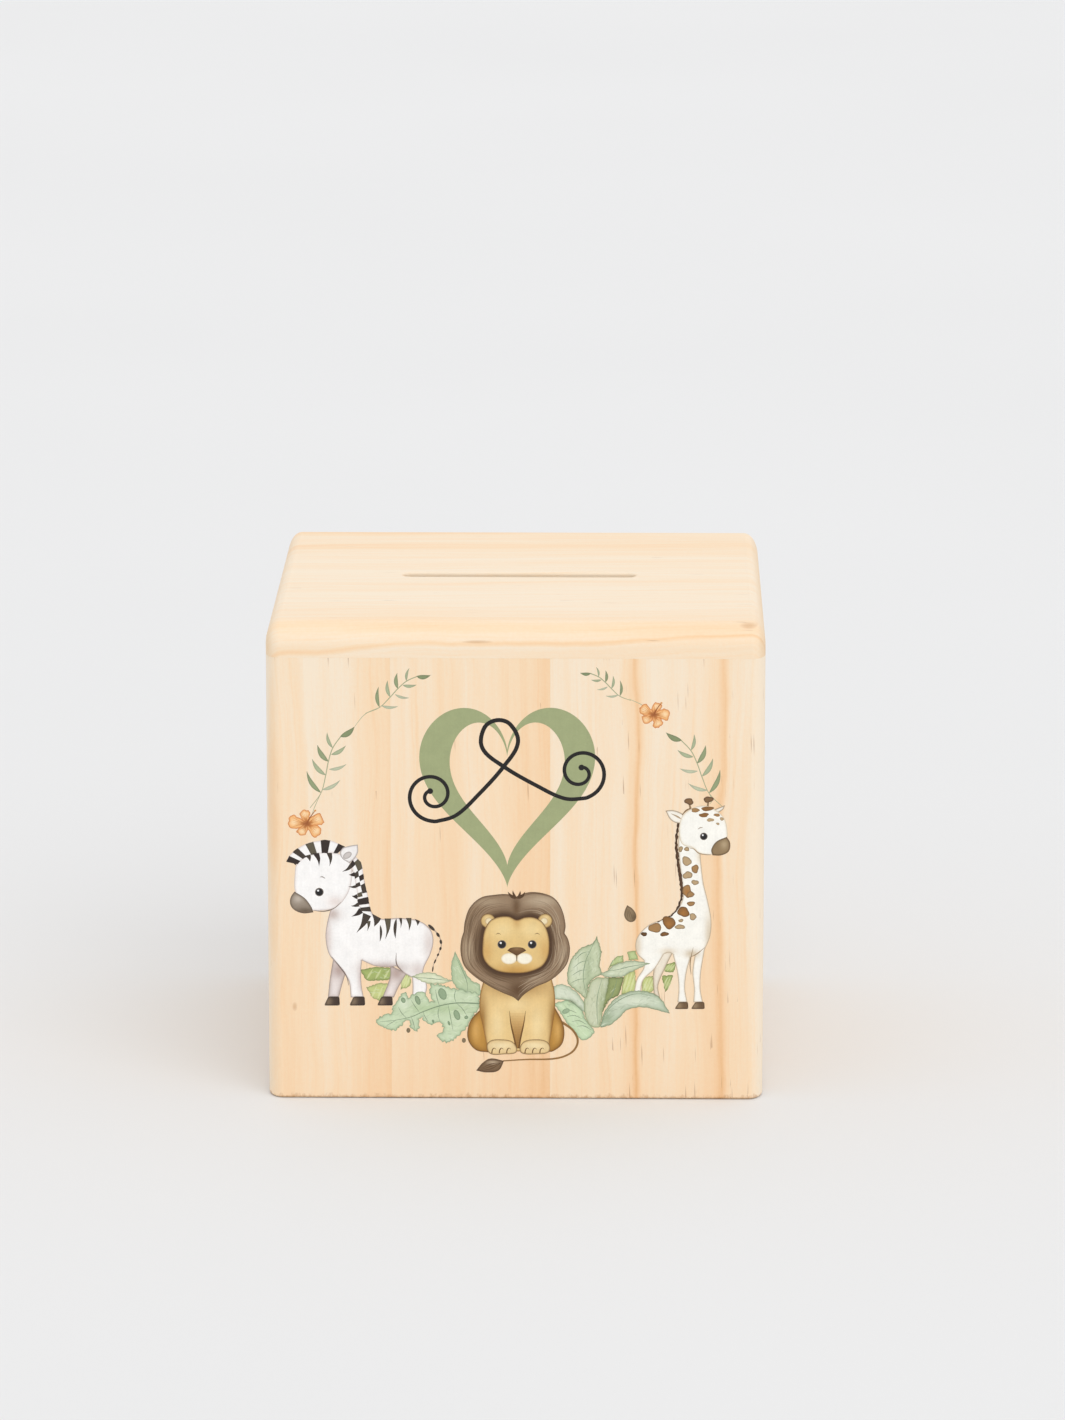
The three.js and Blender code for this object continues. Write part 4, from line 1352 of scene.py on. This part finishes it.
def jungle_left():
    """The big ragged leaf left of the lion, with two plain ones above it."""
    art = Figure("print_jungle_left")
    mint, shade = tone(204, 220, 186), tone(166, 188, 150)
    up = outline(
        [(-12.1, 30.4), (-12.8, 28.3), (-12.9, 26.6), (-12.7, 24.5), (-11.8, 22.8)],
        [(-9.6, 22.0)],
        [(-7.2, 21.3), (-7.2, 23.7)],
        [(-8.8, 24.4), (-10.3, 26.6), (-12.1, 30.4)],
    )
    leaf(art, up, tone(190, 206, 168), shade, [[(-11.8, 28.9), (-10.4, 25.9), (-9.7, 23.8), (-9.6, 22.0)]])
    side = outline(
        [(-20.9, 25.2), (-18.9, 26.0), (-16.4, 25.9), (-14.4, 25.0), (-12.6, 24.3)],
        [(-15.3, 23.7), (-17.9, 23.9), (-20.9, 25.2)],
    )
    leaf(art, side, tone(222, 228, 196), tone(186, 196, 158),
         [[(-20.6, 25.1), (-16.9, 24.8), (-12.8, 24.3)]], 0.7)
    ragged = outline(
        [(-7.3, 19.4), (-8.1, 17.5), (-9.3, 15.8), (-10.3, 14.1), (-12.0, 12.4), (-13.6, 11.5), (-15.3, 12.0),
         (-15.7, 12.8)],
        [(-14.8, 13.7), (-14.5, 14.6), (-15.3, 15.6)],
        [(-16.5, 15.3), (-17.6, 15.4), (-18.5, 16.0), (-18.8, 16.7)],
        [(-19.4, 16.3), (-19.3, 15.3), (-19.6, 14.1), (-20.5, 13.8), (-21.2, 14.6)],
        [(-21.3, 15.6), (-21.8, 16.2)],
        [(-22.8, 15.3), (-23.7, 14.3), (-25.0, 14.0), (-26.8, 14.7), (-28.0, 15.3), (-28.3, 16.0)],
        [(-27.0, 17.0), (-26.0, 17.4), (-24.8, 17.4)],
        [(-24.9, 18.4), (-24.0, 19.7), (-23.1, 21.6), (-22.1, 22.0)],
        [(-21.3, 20.6), (-21.0, 21.3), (-19.6, 22.1), (-18.3, 21.8), (-17.6, 20.3), (-16.5, 20.1)],
        [(-17.1, 21.5), (-17.3, 22.8), (-16.9, 23.8)],
        [(-15.3, 23.6), (-13.6, 23.0), (-11.9, 22.8), (-9.4, 22.1), (-7.3, 21.7)],
        [(-7.3, 19.4)],
    )
    veins = [
        [(-11.9, 19.7), (-10.6, 18.4), (-9.8, 17.0)], [(-15.3, 19.1), (-15.6, 17.5), (-15.3, 16.0)],
        [(-18.6, 17.9), (-18.3, 17.0), (-17.6, 15.8)], [(-21.0, 16.9), (-20.6, 15.6), (-20.3, 14.4)],
        [(-15.3, 19.1), (-15.8, 20.8), (-16.1, 22.5)], [(-11.9, 19.7), (-12.3, 21.1), (-11.9, 22.7)],
        [(-19.3, 17.7), (-20.3, 19.1), (-21.0, 20.3)], [(-22.0, 16.6), (-23.0, 17.7), (-23.6, 18.9)],
        [(-24.0, 16.2), (-25.0, 15.6), (-26.0, 15.0)], [(-13.6, 19.5), (-13.2, 17.4), (-12.6, 14.0)],
    ]
    soft = [(tone(186, 206, 164), -16.0, 18.6, 9.0, 1.0), (tone(216, 228, 200), -22.5, 19.6, 1.4, 1.6)]
    leaf(art, ragged, mint, shade, veins, 0.8, soft, fray=0.26)
    rib = [(-7.3, 19.6), (-11.9, 19.7), (-15.3, 19.1), (-18.6, 17.9), (-21.1, 16.8), (-24.5, 16.1),
           (-27.4, 15.8)]
    art.line(rib, VEIN, 0.28, 0.2, 0.06)
    holes = (
        (-14.7, 21.6, 0.8, 1.25), (-11.8, 17.2, 0.6, 1.1), (-9.9, 16.7, 0.4, 0.36), (-19.7, 20.3, 0.5, 1.0),
        (-22.6, 20.3, 0.45, 0.6), (-13.4, 15.5, 0.24, 0.5), (-16.6, 15.9, 0.24, 0.36),
    )
    for x, z, across, high in holes:
        art.fill(oval(x, z, across, high, 20), tone(150, 172, 138), rim=tone(112, 134, 104), reach=0.35)
    for x, z in ((-21.6, 14.0), (-10.4, 11.9)):
        art.fill(oval(x, z, 0.4, 0.5), tone(136, 120, 92), rim=tone(100, 84, 60), reach=0.3)
    return art


def jungle_right():
    """The tall and the low leaves right of the lion."""
    art = Figure("print_jungle_right")
    sage, shade = tone(200, 210, 176), tone(150, 166, 126)
    high = outline([(18.7, 26.6), (19.2, 27.9), (20.3, 29.2), (21.7, 29.6)], [(21.7, 28.3)],
                   [(19.6, 27.5), (18.7, 26.6)])
    leaf(art, high, tone(192, 206, 148), tone(160, 178, 118), reach=0.6)
    notch = outline([(22.6, 30.3), (24.2, 30.5)], [(24.7, 28.7)], [(22.8, 28.6)], [(22.6, 30.3)])
    leaf(art, notch, tone(192, 206, 148), tone(160, 178, 118), reach=0.6)
    long = outline(
        [(16.7, 25.8), (18.5, 26.4), (19.6, 27.5), (21.7, 28.2), (24.0, 28.5), (27.2, 27.9)],
        [(25.0, 26.9), (22.8, 25.9), (21.6, 25.1)],
        [(18.5, 25.1), (16.7, 25.8)],
    )
    leaf(art, long, tone(212, 220, 192), tone(168, 182, 148),
         [[(18.3, 26.3), (20.5, 26.6), (22.8, 27.2), (26.9, 27.9)]])
    low = outline(
        [(7.7, 23.1), (9.1, 23.6), (10.8, 23.1), (12.7, 21.6), (13.9, 19.6), (14.2, 17.4)],
        [(12.9, 18.7), (10.9, 20.2), (7.7, 20.5)],
        [(7.7, 23.1)],
    )
    foot = outline(
        [(7.7, 19.6), (8.8, 18.1), (10.0, 16.1), (11.3, 14.4), (12.2, 13.2), (13.5, 11.9), (14.9, 12.3),
         (16.1, 13.7)],
        [(15.5, 14.6), (14.2, 16.3), (13.6, 18.1)],
        [(12.4, 19.2), (10.6, 20.2), (7.7, 19.6)],
    )
    teeth = [[(9.4 + i, 17.8 - i), (10.8 + i, 18.2 - i * 1.1), (12.4 + i, 17.6 - i * 1.2)] for i in range(4)]
    leaf(art, foot, tone(202, 222, 184), tone(160, 184, 146), teeth, 0.7)
    art.fill(oval(10.2, 18.0, 0.8, 0.5, 25), tone(160, 182, 148), rim=tone(120, 144, 112), reach=0.3)
    leaf(art, low, tone(216, 224, 202), tone(172, 188, 156),
         [[(8.1, 20.5), (10.9, 20.2), (12.7, 18.8), (14.1, 17.2)]])
    tall = outline(
        [(16.4, 33.7), (15.6, 32.2), (13.1, 31.0), (11.1, 28.5), (10.5, 26.3), (10.7, 23.7), (12.4, 22.2),
         (14.2, 20.5)],
        [(14.7, 20.9), (14.6, 22.2), (15.0, 23.9), (16.3, 25.1), (17.3, 25.8), (17.0, 27.7), (17.4, 30.3)],
        [(16.9, 32.0), (16.4, 33.7)],
    )
    rib = [(16.4, 33.4), (15.1, 30.6), (14.2, 28.5), (13.7, 25.5), (13.9, 23.3), (14.5, 20.7)]
    veins = [rib]
    for i in range(4):
        foot, bend = (14.9 - 0.2 * i, 30.4 - 1.9 * i), (13.4 - 0.2 * i, 30.0 - 1.8 * i)
        veins.append([foot, bend, (12.0 - 0.3 * i, 28.6 - 1.6 * i)])
    soft = [(tone(178, 192, 156), 14.6, 26.0, 0.9, 5.0), (tone(214, 222, 196), 12.4, 27.0, 1.2, 3.0)]
    leaf(art, tall, sage, shade, veins, 0.8, soft)
    back = outline(
        [(18.9, 25.0), (21.8, 25.0)],
        [(21.4, 22.9), (20.9, 21.3)],
        [(18.9, 20.2), (17.8, 18.3), (17.3, 17.2)],
        [(17.8, 20.2), (18.5, 22.9), (18.9, 25.0)],
    )
    leaf(art, back, tone(150, 162, 106), tone(116, 128, 78),
         [[(20.6, 24.8), (19.6, 21.6), (18.0, 18.6)]], 0.8)
    front = outline(
        [(16.3, 25.0), (15.0, 23.9), (14.7, 22.2), (13.9, 20.2), (13.9, 18.1), (14.4, 16.1), (15.6, 14.6),
         (17.1, 14.6)],
        [(17.5, 17.4), (17.9, 19.6), (18.5, 22.2), (18.9, 25.0)],
        [(16.3, 25.0)],
    )
    soft = [(tone(176, 188, 148), 17.4, 19.0, 0.7, 4.4)]
    leaf(art, front, tone(206, 212, 182), tone(166, 178, 136),
         [[(17.4, 24.6), (16.5, 20.5), (16.6, 15.2)]], 0.9, soft)
    return art


def jungle_front():
    """The leaf that lies across the giraffe's hind feet."""
    art = Figure("print_jungle_front")
    shape = outline(
        [(17.1, 14.8), (17.8, 17.4), (19.2, 19.6), (21.4, 21.4), (24.1, 22.2), (26.8, 22.0), (29.1, 20.8),
         (31.2, 17.5)],
        [(28.2, 18.3), (25.3, 18.8), (22.8, 18.4), (21.0, 16.7), (19.2, 15.2), (17.4, 14.6), (17.1, 14.8)],
    )
    rib = [(17.3, 15.0), (18.3, 17.6), (19.9, 19.5), (22.5, 21.1), (25.0, 21.6), (27.7, 21.1)]
    soft = [(tone(220, 228, 206), 24.0, 20.0, 4.0, 0.9), (tone(160, 178, 146), 18.4, 16.6, 1.2, 1.4)]
    leaf(art, shape, tone(196, 208, 184), tone(150, 168, 134), [rib], 0.9, soft)
    return art


def sprig(art, base, length, angle, mirrored=False):
    """A thin twig with leaves on both sides, along an angle from the horizontal."""
    turn = math.radians(angle)
    flip = -1 if mirrored else 1
    across = np.array([math.cos(turn), math.sin(turn)]) * length
    up = np.array([-math.sin(turn), math.cos(turn)]) * length * flip

    def at(x, y):
        return np.array(base) + across * x + up * y

    greens = (tone(150, 162, 122), tone(176, 186, 150), tone(196, 202, 172), tone(136, 148, 108))
    stem = [at(*p) for p in ((-0.25, 0.04), (0.0, 0.0), (0.24, 0.05), (0.42, 0.1), (0.61, 0.13), (0.82, 0.1))]
    art.line(stem, tone(168, 172, 136), 0.12, 0.2, 0.2)
    leaves = (
        ((0.0, 0.0), (0.18, 0.3), 0.062, 0), ((0.04, 0.01), (0.27, -0.15), 0.05, 2),
        ((0.24, 0.05), (0.36, 0.31), 0.06, 1), ((0.33, 0.05), (0.5, -0.13), 0.045, 2),
        ((0.42, 0.1), (0.56, 0.33), 0.066, 0), ((0.52, 0.11), (0.72, -0.01), 0.055, 1),
        ((0.61, 0.13), (0.77, 0.29), 0.045, 1), ((0.79, 0.11), (1.0, 0.0), 0.075, 3),
    )
    for start, tip, width, green in leaves:
        bend = 0.1 if tip[1] > 0.2 else -0.1
        shape = blade(at(*start), at(*tip), width * length, bend * flip)
        art.fill(shape, greens[green], rim=greens[green] * 0.7, reach=0.4)


# A petal's outline, from the flower's heart: how far outwards and how far aside, as shares of its length.
PETAL = ((0.0, 0.0), (0.5, -0.3), (0.88, -0.4), (1.02, -0.08), (0.93, 0.28), (0.55, 0.34))


def hibiscus(art, x, z, size, turn):
    """A five-petalled flower with ruffled edges, folds from its throat and a long stamen."""
    chance = random.Random(turn)
    petal, fold, throat = tone(248, 192, 128), tone(228, 150, 82), tone(156, 88, 40)
    heart = np.array([x, z])
    for i in range(5):
        angle = math.radians(turn + 72 * i)
        out = np.array([math.cos(angle), math.sin(angle) * 0.82]) * size * (1 + 0.1 * math.sin(2.3 * i))
        side = np.array([-out[1], out[0]])
        shape = loop(*(heart + out * away + side * aside for away, aside in PETAL))
        glow = [(tone(254, 222, 176), *(heart + out * 0.72), size * 0.2, size * 0.16)]
        art.fill(frayed(shape, 0.13, chance), petal, rim=fold, reach=0.6, soft=glow, edge=tone(204, 120, 58))
        for lift in (-0.26, -0.12, 0.02, 0.16, 0.28):
            tip = heart + out * chance.uniform(0.6, 0.86) + side * lift
            art.line([heart, heart + out * 0.4 + side * lift * 0.4, tip], fold * 0.82, 0.22, 0.11, 0.03)
    art.glaze(oval(x, z, size * 0.42, size * 0.34), throat, size * 0.32, 0.9)
    stamen = [(x, z), (x + size * 0.2, z + size * 0.4), (x + size * 0.5, z + size * 0.8)]
    art.line(stamen, throat, 0.3, 0.2, 0.14)
    art.fill(oval(*stamen[-1], 0.22, 0.2), tone(214, 150, 78))


def garland():
    """Four sprigs and two flowers in an open ring round the ornament."""
    art = Figure("print_garland")
    stalks = (
        [(-41.0, 58.0), (-40.2, 60.4), (-38.9, 63.3)],
        [(-32.1, 76.9), (-30.0, 79.4), (-27.1, 80.8)],
        [(38.8, 63.1), (39.4, 61.6), (39.0, 60.9)],
        [(22.8, 82.4), (25.0, 81.4), (26.6, 80.4)],
    )
    for points in stalks:
        art.line(points, tone(184, 184, 150), 0.1, 0.15, 0.12)
    sprig(art, (-38.9, 63.3), 15.2, 63.4)
    sprig(art, (-27.1, 80.8), 12.2, 32.6)
    sprig(art, (38.8, 63.1), 15.2, 124.8, mirrored=True)
    sprig(art, (20.9, 83.0), 9.3, 149, mirrored=True)
    hibiscus(art, -41.8, 56.9, 3.4, 100)
    hibiscus(art, 27.7, 79.2, 3.0, 75)
    return art


def ornament():
    """A plain heart, broad at its sides and fine at its dip and its point, in the colour of sage."""
    art = Figure("print_ornament")
    turn = np.linspace(0, 2 * math.pi, 200, endpoint=False)
    across = 16 * np.sin(turn) ** 3
    up = 13 * np.cos(turn) - 5 * np.cos(2 * turn) - 2 * np.cos(3 * turn) - np.cos(4 * turn)
    middle = np.array([-1.6, 65.4])
    outer = middle + np.stack([across * 1.1, up * 1.28], axis=1)
    inner = middle + np.stack([across * 0.72, up * 1.02 + 0.1], axis=1)
    half = len(turn) // 2
    sage = tone(161, 169, 124)
    for side in (slice(0, half + 1), np.r_[half:len(turn), 0]):
        art.fill(np.vstack([outer[side], inner[side][::-1]]), sage, rim=sage * 0.96, reach=0.5)
    return art


def flourish():
    """One run of a pen across the ornament: a curl, a long swing with a loop in it, and a curl back."""
    art = Figure("print_flourish")
    middle, tilt = np.array([-1.5, 63.5]), math.radians(9)
    turn = np.radians(np.linspace(-250, 270, 40))
    radius = np.linspace(1.0, 5.4, 40)
    curl = np.stack([-15.0 + radius * np.cos(turn), 1.6 + radius * np.sin(turn)], axis=1)
    half = np.vstack([curl, [(-11.0, -3.2), (-6.0, 0.2), (0.0, 5.2), (3.6, 9.6), (2.6, 13.6), (0.0, 14.8)]])
    points = np.vstack([half, (half * (-1, 1))[-2::-1]])
    spin = np.array([[math.cos(tilt), math.sin(tilt)], [-math.sin(tilt), math.cos(tilt)]])
    black = tone(20, 16, 14)
    points = points @ spin + middle
    art.line(points, black, 0.7, 0.85, 0.7)
    for end in (points[0], points[-1]):
        art.fill(oval(*end, 0.6, 0.6), black)
    return art


def picture():
    """Every figure, from the one furthest back to the one in front of all the others."""
    figures = (
        garland(), ornament(), flourish(), jungle_back(), zebra(), jungle_left(), giraffe(), jungle_right(),
        jungle_front(), lion(),
    )
    for level, figure in enumerate(figures, 1):
        figure.film(level)


# ---------------------------------------------------------------- studio


def camera():
    """The photograph's own view: a long lens, a little above the box and a little to its right."""
    data = bpy.data.cameras.new("camera")
    data.lens = 171
    data.sensor_width = 36
    data.clip_end = 50
    holder = bpy.data.objects.new("camera", data)
    holder.location = (0.0232, -1.3649, 0.3725)
    holder.rotation_euler = (math.radians(90 - 12.52), 0, math.radians(0.86))
    SCENE.collection.objects.link(holder)
    SCENE.camera = holder


def daylight():
    """A bright even room, and one broad soft sun from the right and above."""
    world = bpy.data.worlds.new("studio")
    world.use_nodes = True
    backdrop = world.node_tree.nodes["Background"]
    backdrop.inputs["Color"].default_value = (0.985, 0.99, 1.0, 1)
    backdrop.inputs["Strength"].default_value = 0.92
    SCENE.world = world
    data = bpy.data.lights.new("sun", "SUN")
    data.energy = 0.7
    data.angle = math.radians(50)
    data.color = (1.0, 0.985, 0.965)
    sun = bpy.data.objects.new("sun", data)
    sun.rotation_euler = (math.radians(45), 0, math.radians(24))
    SCENE.collection.objects.link(sun)
    SCENE.view_settings.view_transform = "Standard"


def pale_floor():
    """A wide matt floor just under the box."""
    surface = Shader("floor", roughness=0.9, specular=0.2)
    mottle = surface.noise(surface.place, scale=2.5)
    surface.colour(surface.ramp(mottle, [(0.3, linear(229, 229, 229)), (0.7, linear(231, 231, 231))]))
    mesh = bpy.data.meshes.new("floor")
    reach, drop = 30.0, 0.1 * MM
    corners = [(-reach, -reach, -drop), (reach, -reach, -drop), (reach, reach, -drop), (-reach, reach, -drop)]
    mesh.from_pydata(corners, [], [(0, 1, 2, 3)])
    floor = bpy.data.objects.new("floor", mesh)
    mesh.materials.append(surface.material)
    SCENE.collection.objects.link(floor)


camera()
daylight()
pale_floor()
staves()
sheets()
fasteners()
picture()
